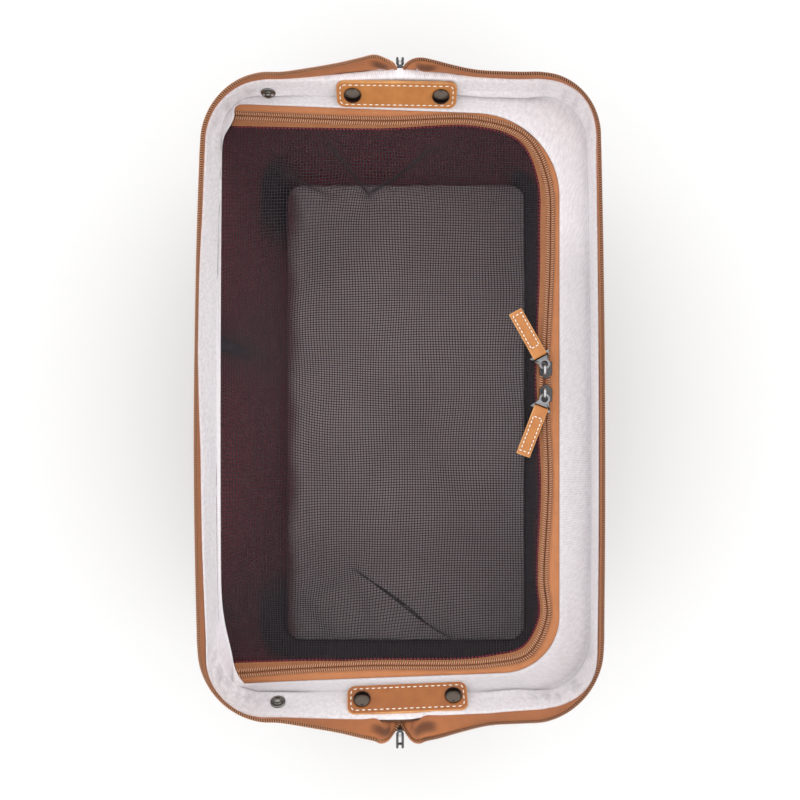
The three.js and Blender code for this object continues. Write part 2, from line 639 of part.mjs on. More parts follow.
// Bent wire bail in the slider's frame: its inner bar lies inside the bridge, its legs reach out and then
// drop towards the nose. Each row is a place on a leg, with the angle through which the wire has bent there.
function bailGeometry(reach) {
  const farBar = BRIDGE_RADIUS + reach;
  const legRows = [
    { drop: 0, out: BAIL_INNER_BAR, bend: 0 },
    { drop: 0, out: farBar - BAIL_BEND, bend: 0 },
    { drop: 0.3 * BAIL_BEND, out: farBar - 0.3 * BAIL_BEND, bend: 45 },
    { drop: BAIL_BEND, out: farBar, bend: 90 },
    { drop: BAIL_DROP, out: farBar, bend: 90 },
  ];
  const leg = (side) => legRows.map(({ drop, out, bend }) => {
    const angle = THREE.MathUtils.degToRad(bend);
    const place = new THREE.Vector3(side * BAIL_HALF_WIDTH, -drop, out);
    return { place, back: new THREE.Vector3(0, Math.cos(angle), Math.sin(angle)) };
  });
  const route = [...leg(-1), ...leg(1).reverse()];
  const rings = route.map(({ place, back }, i) => {
    const before = route[(i + route.length - 1) % route.length].place;
    const after = route[(i + 1) % route.length].place;
    const across = after.clone().sub(before).cross(back).normalize();
    return wireSection(place, across, back, BAIL_WIRE);
  });
  return loft(rings, true);
}

for (const { name, y, z, side, reach } of RIM_SLIDERS) {
  const seat = new THREE.Group();
  seat.position.set(0, y + side * (SLIDER_PLATE + BRIDGE_RISE), z);
  seat.rotation.set(-side * (Math.PI / 2), 0, side > 0 ? Math.PI : 0);
  carrier.add(seat);
  addPiece(`${name}_slider`, sliderGeometry(), 'gunmetal', seat);
  addPiece(`${name}_bail`, bailGeometry(reach), 'gunmetal', seat);
}

// Leather tabs with their snap caps, on a plate that slopes from the ledge up to the wall
function tabGeometry() {
  const cornerX = TAB_LENGTH / 2 - TAB_CORNER;
  const cornerY = TAB_WIDTH / 2 - TAB_CORNER;
  const plate = new THREE.Shape();
  const signs = [[1, 1], [-1, 1], [-1, -1], [1, -1]];
  signs.forEach(([x, y], quarter) => {
    const start = (quarter * Math.PI) / 2;
    plate.absarc(x * cornerX, y * cornerY, TAB_CORNER, start, start + Math.PI / 2, false);
  });
  plate.closePath();
  return drawnOut(plate, TAB_THICK, 5).translate(0, 0, -TAB_THICK / 2);
}

function turned(profile, segments) {
  const points = profile.map(([radius, height]) => new THREE.Vector2(radius, height));
  return new THREE.LatheGeometry(points, segments).rotateX(Math.PI / 2);
}

const CAP_PROFILE = [
  [0, 0],
  [CAP_RADIUS - 0.4, 0],
  [CAP_RADIUS, 0.5],
  [CAP_RADIUS - 0.5, 1.4],
  [0.62 * CAP_RADIUS, 2.5],
  [0, 3],
];
const STUD_PROFILE = [
  [0, 0],
  [5.2, 0],
  [5.3, 0.7],
  [4.2, 1.1],
  [2.3, 1.2],
  [2.2, 2],
  [2.6, 2.8],
  [1.7, 3.5],
  [0, 3.7],
];

for (const { name, x, y, z, slope, turn, caps, side } of TABS) {
  const seat = new THREE.Group();
  seat.position.set(x, y, z);
  seat.rotation.set(side * THREE.MathUtils.degToRad(slope), 0, THREE.MathUtils.degToRad(turn), 'ZXY');
  carrier.add(seat);
  addPiece(`${name}_tab`, tabGeometry(), 'leather', seat);
  caps.forEach((along, i) => {
    const capName = `${name}_${i === 0 ? 'left' : 'right'}_cap`;
    const cap = addPiece(capName, turned(CAP_PROFILE, 16), 'darkSnap', seat);
    cap.position.set(along, 0, TAB_THICK / 2 + SEAT_GAP);
  });
}

for (const { name, x, y, z, slope, side } of STUDS) {
  const stud = addPiece(name, turned(STUD_PROFILE, 14), 'darkSnap');
  stud.position.set(x, y, z);
  stud.rotation.x = side * THREE.MathUtils.degToRad(slope);
}

// Stand the carrier on the ground with the middle of its plan at the origin
const reach = new THREE.Box3().setFromObject(carrier, true);
carrier.position.set(-(reach.min.x + reach.max.x) / 2, -(reach.min.y + reach.max.y) / 2, -reach.min.z);

export default carrier;
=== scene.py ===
import math

import bmesh
import bpy
import numpy as np
from mathutils import Matrix, Vector


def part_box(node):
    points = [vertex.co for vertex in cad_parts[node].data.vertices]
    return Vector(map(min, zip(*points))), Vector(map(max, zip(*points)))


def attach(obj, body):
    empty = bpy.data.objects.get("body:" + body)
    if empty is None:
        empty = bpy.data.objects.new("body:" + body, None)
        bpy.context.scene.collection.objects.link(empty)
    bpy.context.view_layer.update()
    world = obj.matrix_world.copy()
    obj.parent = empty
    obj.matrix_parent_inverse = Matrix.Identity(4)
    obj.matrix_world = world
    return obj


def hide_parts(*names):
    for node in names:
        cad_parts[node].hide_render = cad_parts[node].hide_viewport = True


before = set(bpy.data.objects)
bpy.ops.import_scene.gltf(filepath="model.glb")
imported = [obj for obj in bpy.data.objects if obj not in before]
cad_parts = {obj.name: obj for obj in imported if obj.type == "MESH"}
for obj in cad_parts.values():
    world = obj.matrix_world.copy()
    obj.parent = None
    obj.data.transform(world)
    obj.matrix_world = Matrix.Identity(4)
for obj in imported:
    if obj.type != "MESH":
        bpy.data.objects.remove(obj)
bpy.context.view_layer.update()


# Outer body of the bag, walls and base: brown canvas in one thickness, sewn round the base and under the rim.
# The photograph hides it, so its finish is plain, with the soft waves of cloth that stands by itself.
MM = 0.001
UPPER_SLIDER_Y = 21.4
rim_slider_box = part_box("head_rim_slider")
door_slider_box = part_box("upper_door_slider")
# The tables below are in millimetres from the middle of the mouth, which is a little off the frame's origin
MOUTH_MIDDLE = np.array([
    (rim_slider_box[0].x + rim_slider_box[1].x) / 2,
    (door_slider_box[0].y + door_slider_box[1].y) / 2 - UPPER_SLIDER_Y * MM,
    0.0,
])
SHELL_WALL, SHELL_TOP = 1.6, 263.7
SIDES = ("left", "right", "head", "foot")
SHELL_COLUMNS = ("z", *SIDES, "corner", "bump", "left_bow", "right_bow")
SHELL_ROWS = [dict(zip(SHELL_COLUMNS, row)) for row in (
    (0, -109, 117, 208, -226, 18, 0, 0, 0),
    (4, -114.5, 122.5, 213.5, -231.5, 22, 0, 0, 0),
    (13, -117, 125, 216, -234, 25, 0, 0, 0),
    (110, -127.5, 133, 221, -231.5, 36, 0.8, 1.6, 0.8),
    (240, -139.5, 139.5, 224, -223.6, 42, 2, 3.6, 1.8),
    (SHELL_TOP, -142, 141, 225, -222.7, 44, 2.6, 4, 2),
)]
END_BUMP_SPAN = 85
BOW_REACH, LEFT_BOW_MIDDLE, RIGHT_BOW_MIDDLE = 190, -20, -48
# How far the cloth pulls the rim's seam in from its plan, along the foot end and along the left side
FOOT_PULLS = [
    (-60, 0), (-20, 0.8), (8, 1.5), (24, 3.6), (62, 3.4), (90, 5.2), (104, 6), (118, 4.6), (136, 1), (142, 0),
]
LEFT_PULLS = [
    (-205, 1), (-165, 2.2), (-100, 1.4), (-34, 1.2), (0, 0), (34, -1.2), (70, -1.4), (140, 0), (200, 0),
]
WALL_PULL_START = 215
# At the right of the head the seam fills its corner more: middle and spread of that place
FULL_CORNER, FULL_PUSH = (128, 212, 26), 2.4
# Waves of cloth: height, length, seed and upright share
SHELL_WAVES = [(1.5, 120, 3, 0.35), (0.7, 46, 5, 0.5)]
# Heights of the two seams, and length and width of their stitches
BODY_SEAMS, SEAM_STITCH = (15.0, 255.0), (2.9, 0.8)


def to_frame(points):
    """Points in millimetres from the middle of the mouth, as metres in the frame."""
    return np.asarray(points, float) * MM + MOUTH_MIDDLE


def unit(rows):
    """Directions of length one."""
    return rows / np.maximum(np.linalg.norm(rows, axis=-1, keepdims=True), 1e-12)


def ramp(values, none, full):
    """Share that rises evenly from 0 at one value to 1 at another."""
    return np.clip((values - none) / (full - none), 0, 1)


def near(points, x, y, spread):
    """Share from 1 at a place in plan to 0 well away from it."""
    return np.exp(-((points[..., 0] - x) ** 2 + (points[..., 1] - y) ** 2) / spread ** 2)


def between(start, end, shares):
    """Points on their way from a start to an end, one set for each share of the way."""
    gap = np.asarray(end) - start
    return start + gap * np.reshape(shares, (-1,) + (1,) * gap.ndim)


def lifted(level, height):
    """Points in plan, lifted to a height."""
    return np.column_stack([level, np.broadcast_to(height, len(level))])


def run_along(line):
    """Length run along a line of points, at each of them."""
    return np.concatenate([[0], np.cumsum(np.linalg.norm(np.diff(line, axis=0), axis=1))])


def at_lengths(lengths, line):
    """Places on a line of points, at lengths from its start."""
    return np.column_stack([np.interp(lengths, run_along(line), column) for column in line.T])


def corners_of(plan):
    """Radii of a plan's four corners, from the left of the head round to its right."""
    return plan.get("corners") or [plan["corner"]] * 4


def plan_points(shares, plan):
    """Points on a rounded plan, anticlockwise from the middle of the head end, at shares of its length."""
    left, right, head, foot = (plan[side] for side in SIDES)
    outline = [[(0.0, head)]]
    corners = zip(((left, head), (left, foot), (right, foot), (right, head)), corners_of(plan))
    for i, ((x, y), radius) in enumerate(corners):
        middle = (x + math.copysign(radius, -x), y + math.copysign(radius, -y))
        turn = np.radians(90 * (i + 1) + np.linspace(0, 90, 16))
        outline.append(middle + radius * np.column_stack([np.cos(turn), np.sin(turn)]))
    outline = np.concatenate([*outline, outline[0]])
    x, y = at_lengths(shares * run_along(outline)[-1], outline).T
    on_left = x < 0
    bow = np.where(on_left, plan.get("left_bow", 0), plan.get("right_bow", 0))
    middle = np.where(on_left, LEFT_BOW_MIDDLE, RIGHT_BOW_MIDDLE)
    x = x - x / np.where(on_left, -left, right) * bow * ((y - middle) / BOW_REACH) ** 2
    end = y / np.where(y > 0, head, -foot)
    swell = np.cos(np.pi / 2 * np.minimum(np.abs(x) / END_BUMP_SPAN, 1)) ** 2
    y = y + np.sign(y) * plan.get("bump", 0) * np.abs(end) ** 8 * swell - plan.get("taper", 0) * x * end
    return np.column_stack([x, y])


def inset(plan, distance):
    """The same plan drawn in by a distance on every side."""
    drawn = {side: plan[side] - math.copysign(1, plan[side]) * distance for side in SIDES}
    return {**plan, **drawn, "corners": [radius - distance for radius in corners_of(plan)]}


def body_plan(height, distance=0.0):
    """Plan of the body at a height, between the rows of its table, drawn in by a distance."""
    columns = np.array([list(row.values()) for row in SHELL_ROWS]).T
    plan = {key: float(np.interp(height, columns[0], column)) for key, column in zip(SHELL_COLUMNS, columns)}
    return inset(plan, distance)


def pulled_seam(points):
    """The rim's seam where the cloth draws it in, and where it fills a corner."""
    x, y = points[..., 0], points[..., 1]
    inward = np.interp(x, *np.array(FOOT_PULLS).T) * ramp(y, -150, -190)
    across = np.interp(y, *np.array(LEFT_PULLS).T) * ramp(x, -110, -125)
    fuller = FULL_PUSH * near(points, *FULL_CORNER)
    return points + np.stack([across + fuller, inward + fuller, 0 * x], axis=-1)


def pulled_wall(points):
    """The body's wall, which follows the rim's seam at its top."""
    share = ramp(points[..., 2], WALL_PULL_START, SHELL_TOP) ** 2
    return points + (pulled_seam(points) - points) * share[..., None]


def rows_of(plans, heights, shares):
    """Table of points, one row for each plan at its height."""
    return np.stack([lifted(plan_points(shares, plan), height) for plan, height in zip(plans, heights)])


def bucket(heights, distance, shares):
    """Walls and floor of the bag at a distance inside its outer face, from the floor's middle to the top."""
    wall = rows_of([body_plan(height, distance) for height in heights], heights, shares)
    return np.concatenate([between(wall[0].mean(axis=0), wall[0], np.linspace(0, 0.97, 15)), wall])


def outward(points):
    """Level direction that points away from the bag's middle, for rows of points that close on themselves."""
    ring = points[:, :-1, :2]
    along = unit(np.roll(ring, -1, axis=1) - np.roll(ring, 1, axis=1))
    away = np.stack([along[..., 1], -along[..., 0], 0 * along[..., 0]], axis=2)
    return np.concatenate([away, away[:, :1]], axis=1)


def ripples(points, length, seed, upright=1.0):
    """Smooth waves of that length, mostly between -1 and 1; a small upright share makes them taller."""
    rng = np.random.default_rng(seed)
    total = np.zeros(points.shape[:-1])
    for _ in range(8):
        way = rng.normal(size=3)
        way *= 2 * math.pi / (length * np.linalg.norm(way))
        total += np.sin((points * (1, 1, upright)) @ way + rng.uniform(0, 2 * math.pi))
    return total / 3.5


def waves_of(points, rows):
    """Ripples of several sizes together, from a table."""
    return sum(height * ripples(points, *wave) for height, *wave in rows)


def sheet_of(points, turned=False):
    """Grid of quads through a table of points, with a UV map in metres; points that meet are welded."""
    rows, columns = points.shape[:2]
    across = run_along(points[:, columns // 3]) * MM
    along = run_along(points[-1 - rows // 4]) * MM
    placed = to_frame(points)
    bm = bmesh.new()
    bmesh.ops.create_grid(bm, x_segments=columns - 1, y_segments=rows - 1, size=0.5)
    uv = bm.loops.layers.uv.new("UVMap")
    for vert in bm.verts:
        column = round((vert.co.x + 0.5) * (columns - 1))
        row = round((vert.co.y + 0.5) * (rows - 1))
        vert.co = placed[row, column]
        for corner in vert.link_loops:
            corner[uv].uv = (along[column], across[row])
    bmesh.ops.remove_doubles(bm, verts=bm.verts, dist=1e-6)
    if turned:
        bmesh.ops.reverse_faces(bm, faces=bm.faces)
    return bm


def add_object(name, mesh, materials):
    """New smooth object at the frame's origin."""
    mesh.polygons.foreach_set("use_smooth", [True] * len(mesh.polygons))
    for material in materials:
        mesh.materials.append(material)
    piece = bpy.data.objects.new(name, mesh)
    bpy.context.scene.collection.objects.link(piece)
    return piece


def add_piece(name, bm, *materials, seat=Matrix.Identity(4), sharp=None):
    """New object from a bmesh moved to its seat; edges beyond an angle in degrees may stay sharp."""
    bmesh.ops.transform(bm, matrix=seat, verts=bm.verts)
    mesh = bpy.data.meshes.new(name)
    bm.to_mesh(mesh)
    bm.free()
    piece = add_object(name, mesh, materials)
    if sharp:
        mesh.set_sharp_from_angle(angle=math.radians(sharp))
    return piece


def add_mesh(name, points, faces, material):
    """New object from points in metres and faces."""
    mesh = bpy.data.meshes.new(name)
    mesh.from_pydata(points.tolist(), [], faces)
    return add_object(name, mesh, [material])


def thicken(piece, thickness, side=-1):
    """Gives a sheet its cloth thickness, in millimetres, behind its faces or on both sides."""
    modifier = piece.modifiers.new("cloth thickness", "SOLIDIFY")
    modifier.thickness = thickness * MM
    modifier.offset = side


def set_inputs(node, inputs):
    """Gives inputs of a shader node their values, or links them where the value is a socket."""
    for name, value in inputs.items():
        if isinstance(value, bpy.types.NodeSocket):
            node.id_data.links.new(value, node.inputs[name])
        else:
            node.inputs[name].default_value = value


def add_node(tree, kind, inputs=None, output=0, **settings):
    """New shader node with its settings and inputs, as the socket of one of its outputs."""
    made = tree.nodes.new("ShaderNode" + kind)
    for name, value in settings.items():
        setattr(made, name, value)
    set_inputs(made, inputs or {})
    return made.outputs[output]


def patches(tree, scale, detail, space="Object"):
    """Soft noise over a surface, finer with a larger scale."""
    place = add_node(tree, "TexCoord", output=space)
    return add_node(tree, "TexNoise", {"Vector": place, "Scale": scale, "Detail": detail})


def blend(tree, share, dark, light):
    """Colour between two of red, green and blue."""
    return add_node(tree, "Mix", {0: share, 6: (*dark, 1), 7: (*light, 1)}, 2, data_type="RGBA")


def new_material(name, **sockets):
    """Material with its shader, and on the shader's sockets what is the same all over the surface."""
    material = bpy.data.materials.new(name)
    material.use_nodes = True
    shader = material.node_tree.nodes["Principled BSDF"]
    set_inputs(shader, {socket.replace("_", " "): value for socket, value in sockets.items()})
    return material, material.node_tree, shader


def weave_group():
    """Shader group for woven cloth: height and tone of plain or twill threads over a UV map in metres."""
    group = bpy.data.node_groups.new("woven threads", "ShaderNodeTree")
    for name, kind in (("UV", "Vector"), ("Threads per metre", "Float"), ("Twill", "Float")):
        group.interface.new_socket(name, in_out="INPUT", socket_type="NodeSocket" + kind)
    for name in ("Height", "Tone"):
        group.interface.new_socket(name, in_out="OUTPUT", socket_type="NodeSocketFloat")
    uv, threads, twilled = group.nodes.new("NodeGroupInput").outputs[:3]
    turns = add_node(group, "Math", {0: threads, 1: 2 * math.pi}, operation="MULTIPLY")
    scaled = add_node(group, "VectorMath", {0: uv, "Scale": turns}, operation="SCALE")
    across, along = add_node(group, "SeparateXYZ", {0: scaled}).node.outputs[:2]
    warp = add_node(group, "Math", {0: across}, operation="SINE")
    weft = add_node(group, "Math", {0: along}, operation="SINE")
    plain = add_node(group, "Math", {0: warp, 1: weft}, operation="MULTIPLY")
    both = add_node(group, "Math", {0: across, 1: along}, operation="ADD")
    twill = add_node(group, "Math", {0: both}, operation="SINE")
    mixed = add_node(group, "Mix", {0: twilled, 2: plain, 3: twill}, data_type="FLOAT")
    height = add_node(group, "MapRange", {0: mixed, 1: -1.0, 2: 1.0})
    uneven = add_node(group, "TexNoise", {"Vector": uv, "Scale": 900.0, "Detail": 2.0})
    tone = add_node(group, "Mix", {0: 0.5, 2: height, 3: uneven}, data_type="FLOAT")
    set_inputs(group.nodes.new("NodeGroupOutput"), {"Height": height, "Tone": tone})
    return group


WOVEN = weave_group()


def cloth_material(name, light, dark, pitch, twill, relief, blotch=60.0, **sockets):
    """Woven cloth between two colours: thread tone, wide blotches, and a relief in millimetres."""
    material, tree, shader = new_material(name, **sockets)
    woven = {"UV": add_node(tree, "TexCoord", output="UV"), "Threads per metre": 1000 / pitch, "Twill": twill}
    threads = add_node(tree, "Group", woven, node_tree=WOVEN).node.outputs
    worn = patches(tree, blotch, 4.0, "UV")
    share = add_node(tree, "Mix", {0: 0.5, 2: threads["Tone"], 3: worn}, data_type="FLOAT")
    steep = add_node(tree, "MapRange", {0: share, 1: 0.3, 2: 0.7})
    bump = add_node(tree, "Bump", {"Height": threads["Height"], "Distance": relief * MM})
    set_inputs(shader, {"Base Color": blend(tree, steep, dark, light), "Normal": bump})
    return material


def uneven_material(name, light, dark, scale, **sockets):
    """Material whose colour wanders between two tones in small patches, for thread, cord, coil and floor."""
    material, tree, shader = new_material(name, **sockets)
    spots = patches(tree, scale, 3.0)
    bump = add_node(tree, "Bump", {"Height": spots, "Distance": 0.1 * MM})
    set_inputs(shader, {"Base Color": blend(tree, spots, dark, light), "Normal": bump})
    return material


def add_stitches(name, rows, material):
    """One object of thread loops. A row has places, directions, face normals, length and width in mm."""
    ball = bmesh.new()
    bmesh.ops.create_uvsphere(ball, u_segments=6, v_segments=4, radius=1)
    shape = np.array([vert.co for vert in ball.verts])
    sides = [[vert.index for vert in face.verts] for face in ball.faces]
    ball.free()
    loops, faces = [], []
    for places, ways, ups, length, width in rows:
        along = unit(ways)
        up = unit(ups - along * (ups * along).sum(axis=1, keepdims=True))
        axes = np.stack([along, np.cross(up, along), up], axis=1)
        size = shape * np.array([length / 2, width / 2, width / 3]) * MM
        loops.extend(places[:, None, :] + size @ axes)
    for start in range(0, len(loops) * len(shape), len(shape)):
        faces.extend([[start + index for index in side] for side in sides])
    return add_mesh(name, np.concatenate(loops), faces, material)


heights = np.concatenate([np.linspace(0, 13, 7), np.linspace(20, SHELL_TOP, 42)])
shell = bucket(heights, 0, np.linspace(0, 1, 281))
loose = np.sin(np.pi * ramp(shell[..., 2], 12, SHELL_TOP))
waves = waves_of(shell, SHELL_WAVES)
# Inward waves stay shallow, so that the lining keeps clear
waves = np.maximum(waves, 0.1 * waves - 1.2)
shell = pulled_wall(shell + outward(shell) * (waves * loose)[..., None])
canvas = cloth_material("brown canvas", (0.16, 0.072, 0.036), (0.105, 0.046, 0.022), 0.9, 0.0, 0.25,
                        Roughness=0.85, Sheen_Weight=0.15)
piece = add_piece("bag_body", sheet_of(shell), canvas)
thicken(piece, SHELL_WALL)
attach(piece, "bag")
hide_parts("outer_shell")

body_thread = uneven_material("canvas thread", (0.25, 0.125, 0.062), (0.15, 0.07, 0.035), 900.0,
                              Roughness=0.6)
seams = []
for height in BODY_SEAMS:
    ring = pulled_wall(rows_of([body_plan(height, -0.25)], [height], np.linspace(0, 1, 341)))
    placed = to_frame(ring[0])
    seams.append((placed[:-1], np.diff(placed, axis=0), outward(ring)[0, :-1], *SEAM_STITCH))
piece = add_stitches("bag_body_seams", seams, body_thread)
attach(piece, "bag")


# Lining of the cabin: dark red cloth that hangs inside the body, seen only through the net.
# It is sewn in under the net door and lies loosely against the walls and the base.
LINING_DEPTH, LINING_TOP, LINING_THICK = 3.2, 241.4, 1.0
LINING_WAVES = [(2.6, 85, 11, 0.4), (1.2, 30, 12, 0.5)]


def tint_where(material, attribute, tint):
    """Turns a cloth to another colour where a named attribute of its points is 1."""
    shader = material.node_tree.nodes["Principled BSDF"]
    share = add_node(material.node_tree, "Attribute", output="Fac", attribute_name=attribute)
    plain = shader.inputs["Base Color"].links[0].from_socket
    mixed = add_node(material.node_tree, "Mix", {0: share, 6: plain, 7: (*tint, 1)}, 2, data_type="RGBA")
    set_inputs(shader, {"Base Color": mixed})


def mark_points(piece, attribute, values):
    """Gives every point of a piece a value under a name that its material reads."""
    piece.data.attributes.new(attribute, "FLOAT", "POINT").data.foreach_set("value", values)


def spots_of(piece):
    """Places of a piece's points, in millimetres from the middle of the mouth."""
    return (np.array([vert.co for vert in piece.data.vertices]) - MOUTH_MIDDLE) / MM


heights = np.concatenate([np.linspace(LINING_DEPTH, 13 + LINING_DEPTH, 6), np.linspace(24, LINING_TOP, 36)])
lining = bucket(heights, LINING_DEPTH, np.linspace(0, 1, 261))
loose = np.sin(np.pi * ramp(lining[..., 2], 10, LINING_TOP)) ** 0.5
lining -= outward(lining) * (np.maximum(0, waves_of(lining, LINING_WAVES)) * loose)[..., None]
burgundy = cloth_material("dark red lining", (0.36, 0.066, 0.09), (0.235, 0.04, 0.058), 0.7, 0.0, 0.12,
                          blotch=25.0, Roughness=0.9, Sheen_Weight=0.1)
# Painted shade: near-black blue is painted low on the walls at the foot end and right, and in the two left
# corners, where deep shade falls
tint_where(burgundy, "painted_deep_shade", (0.012, 0.014, 0.022))
piece = add_piece("cabin_cloth", sheet_of(lining, turned=True), burgundy)
x, y, z = spots_of(piece).T
# Where the painted shade lies: low on the foot wall and the right wall, and in the two left corners
low_foot = ramp(z, 95, 75) * ramp(y, -205, -215)
low_right = ramp(z, 60, 40) * ramp(x, 100, 110)
corners = [np.exp(-(((x + 120) / 30) ** 2 + ((y - corner_y) / 40) ** 2) ** 2) for corner_y in (185, -205)]
low_corners = np.maximum(*corners) * ramp(z, 105, 80)
mark_points(piece, "painted_deep_shade", np.maximum.reduce([low_foot, low_right, low_corners]))
thicken(piece, LINING_THICK)
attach(piece, "bag")
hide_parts("cabin_lining")


# Floor pad: thin foam in a grey cloth cover, sewn round its edge, lying loose on the cabin's floor.
# It sits towards the right and the foot, with shallow hollows where an animal has lain.
PAD_PLAN = dict(left=-107.5, right=118.5, head=204.5, foot=-228.4, corner=14)
PAD_MIDDLE, PAD_BOTTOM, PAD_RISE = (7.0, -13.0), 3.5, 6.2
# Rise above its underside, and how far the plan is drawn in there
PAD_ROWS = [
    (0, 18), (0, 5), (1.2, 1.6), (2.4, 0.4), (3.4, 0), (4.4, 0.4), (5.4, 1.6), (6, 4.5), (6.2, 9),
]
PAD_WAVES = [(0.9, 130, 21), (0.5, 42, 22)]
pad_plans = [inset(PAD_PLAN, draw) for _, draw in PAD_ROWS]
pad = rows_of(pad_plans, [PAD_BOTTOM + rise for rise, _ in PAD_ROWS], np.linspace(0, 1, 261))
under = between(pad[0], (*PAD_MIDDLE, PAD_BOTTOM), np.linspace(1, 0.1, 5))
crown = between(pad[-1], (*PAD_MIDDLE, PAD_BOTTOM + PAD_RISE), np.linspace(0.04, 1, 26))
pad = np.concatenate([under, pad, crown])
upper = ramp(pad[..., 2], PAD_BOTTOM + 4, PAD_BOTTOM + PAD_RISE)
pad[..., 2] += upper * (waves_of(pad, PAD_WAVES) - 0.8)
pad_cloth = cloth_material("grey pad cloth", (0.93, 0.86, 0.88), (0.82, 0.75, 0.77), 1.1, 0.0, 0.2,
                           blotch=30.0, Roughness=0.95, Sheen_Weight=0.2)
# Its left edge rolls under and fades into the red of the lining
tint_where(pad_cloth, "rolled", (0.3, 0.075, 0.095))
piece = add_piece("cabin_pad", sheet_of(pad), pad_cloth)
spots = spots_of(piece)
rolled = ramp(spots[:, 0] - 4 * ripples(spots, 60, 23), -96, -108)
mark_points(piece, "rolled", np.minimum(rolled, 0.9))
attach(piece, "bag")
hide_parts("floor_pad")


# White collar: soft lining cloth that falls from the rim seam to a crease, then turns in as a ledge.
# Its edge is hemmed and sewn on to the door's tape; on the left it is a narrow hem on the net.
LEDGE_HEIGHT, HEM_START_X, HEM_RUN, HEM_DROP = 245.7, -122.0, 7.0, 1.5
COLLAR_TOP, COLLAR_THICK = 264.4, 0.9
COLLAR_CREASE = dict(left=-131.5, right=136.2, head=217, foot=-207.8, corners=[26, 30, 38, 34], bump=1,
                     left_bow=3, right_bow=2)
COLLAR_EDGE = dict(left=-129, right=114.4, head=207.6, foot=-198.4, corners=[16, 2, 40, 58.5], taper=0.038,
                   left_bow=1)
collar_seam = inset(SHELL_ROWS[-1], SHELL_WALL + 1.3)
# Rows of points up the cloth: the first is turned under, then come ledge, crease, wall, seam and lip
CREASE_ROW, SEAM_ROW = 11, 25
# Places where the hem differs from its plan: middle, spread, push along the plan, lift
HEM_BULGES = [(-127, 201, 10, 8.0, -0.5, 2.6), (-127, -194, 32, 9.5, 0.5, 2.6)]
LOOSE_CORNERS = [(-118, 205, 30), (-118, -198, 32), (122, 203, 30), (118, -200, 34)]
# Tucks at the foot of the wall: middle, spread and depth
TUCKS = [
    (86, 214, 22, 4.0), (56, 215, 18, 2.6), (84, -208, 24, 3.6), (-84, -208, 20, 2.4), (-92, 216, 18, 1.8),
]
# How far the cloth is pushed out along the head end, under the rim's slider
HEAD_LIP = [
    (-90, 0), (-74, 0.7), (-44, 2), (-26, 2.6), (-18, 3.9), (-11, 4.2), (-6, 4.2), (-3, 4.9), (2.5, 4.9),
    (6, 4.1), (10, 4.0), (15.5, 3.8), (22, 2.6), (35, 1.6), (75, 0),
]
COLLAR_WAVES = [(0.5, 60, 31), (0.25, 22, 32)]
PLEAT_PITCH, PLEAT_PLACE = 4.4, (1.5, 222, 8)


def bell(values, middle, spread, power=2):
    """Share that falls from 1 at a middle value to 0 well away from it."""
    return np.exp(-((values - middle) / spread) ** power)


def creases(points, length, seed):
    """Sharp ridges of crumpled cloth, between -1 and 1."""
    return np.clip(1 - 2.4 * np.abs(ripples(points, length, seed, 0.35)), -1, 1)


edge, crease, seam = rows_of((COLLAR_EDGE, COLLAR_CREASE, collar_seam),
                             (LEDGE_HEIGHT, LEDGE_HEIGHT + 0.4, COLLAR_TOP), np.linspace(0, 1, 901))
lip = np.interp(seam[:, 0], *np.array(HEAD_LIP).T) * (seam[:, 1] > 150)
seam = pulled_seam(seam)
for x, y, spread, *push in HEM_BULGES:
    edge += near(edge, x, y, spread)[:, None] * np.array(push)
past_seam = 1.1 * unit((seam - crease) * (1, 1, 0)) + np.column_stack([0 * lip, lip, 0 * lip + 0.3])
ledge = between(edge, crease, np.linspace(0, 1, CREASE_ROW))
wall = between(crease, seam, np.linspace(0, 1, SEAM_ROW - CREASE_ROW + 1)[1:])
over = [seam + past_seam * share for share in (0.35, 0.7, 1.0)]
collar = np.concatenate([[edge + (0, 0, -1.1)], ledge, wall, over])
row = np.arange(len(collar))[:, None]
wall_share = ramp(row, CREASE_ROW, SEAM_ROW)
collar[..., 2] -= HEM_DROP * ramp(collar[..., 0], HEM_START_X, HEM_START_X - HEM_RUN) * (1 - wall_share) ** 4
away = outward(collar)
flat = np.sin(np.pi * ramp(row, 1, CREASE_ROW))
upright = np.sin(np.pi * wall_share)
crumple = sum(near(collar, *place) for place in LOOSE_CORNERS)
soft = waves_of(collar, COLLAR_WAVES)
rough = 1.3 * creases(collar, 13, 33) + 0.8 * creases(collar, 7, 34)
pinch = sum(depth * near(crease, *place) for *place, depth in TUCKS)
beside_door = ramp(crease[:, 0], 110, 125)
tuck = 0.3 * ramp(crease[:, 0], -122, -112) + 1.3 * beside_door + pinch
fold = tuck * bell(row, CREASE_ROW, 1.3)
overhang = 0.75 * pinch * bell(row, CREASE_ROW + 2.4, 1.2)
pleats = 0.9 * np.sin(2 * np.pi * collar[..., 0] / PLEAT_PITCH) * near(collar, *PLEAT_PLACE)
collar[..., 2] += flat * 0.7 * soft - fold
collar += away * (upright * (1.1 * soft + 0.75 * crumple * rough + pleats) + 0.6 * fold - overhang)[..., None]
white_cloth = cloth_material("white lining cloth", (0.96, 0.92, 0.95), (0.62, 0.592, 0.615), 1.3, 1.0, 0.15,
                             blotch=380.0, Roughness=0.85, Sheen_Weight=0.3)
# Painted shade: the cloth is painted greyer on the ledge and down in its creases, crumples and tucks
tint_where(white_cloth, "crease", (0.34, 0.318, 0.335))
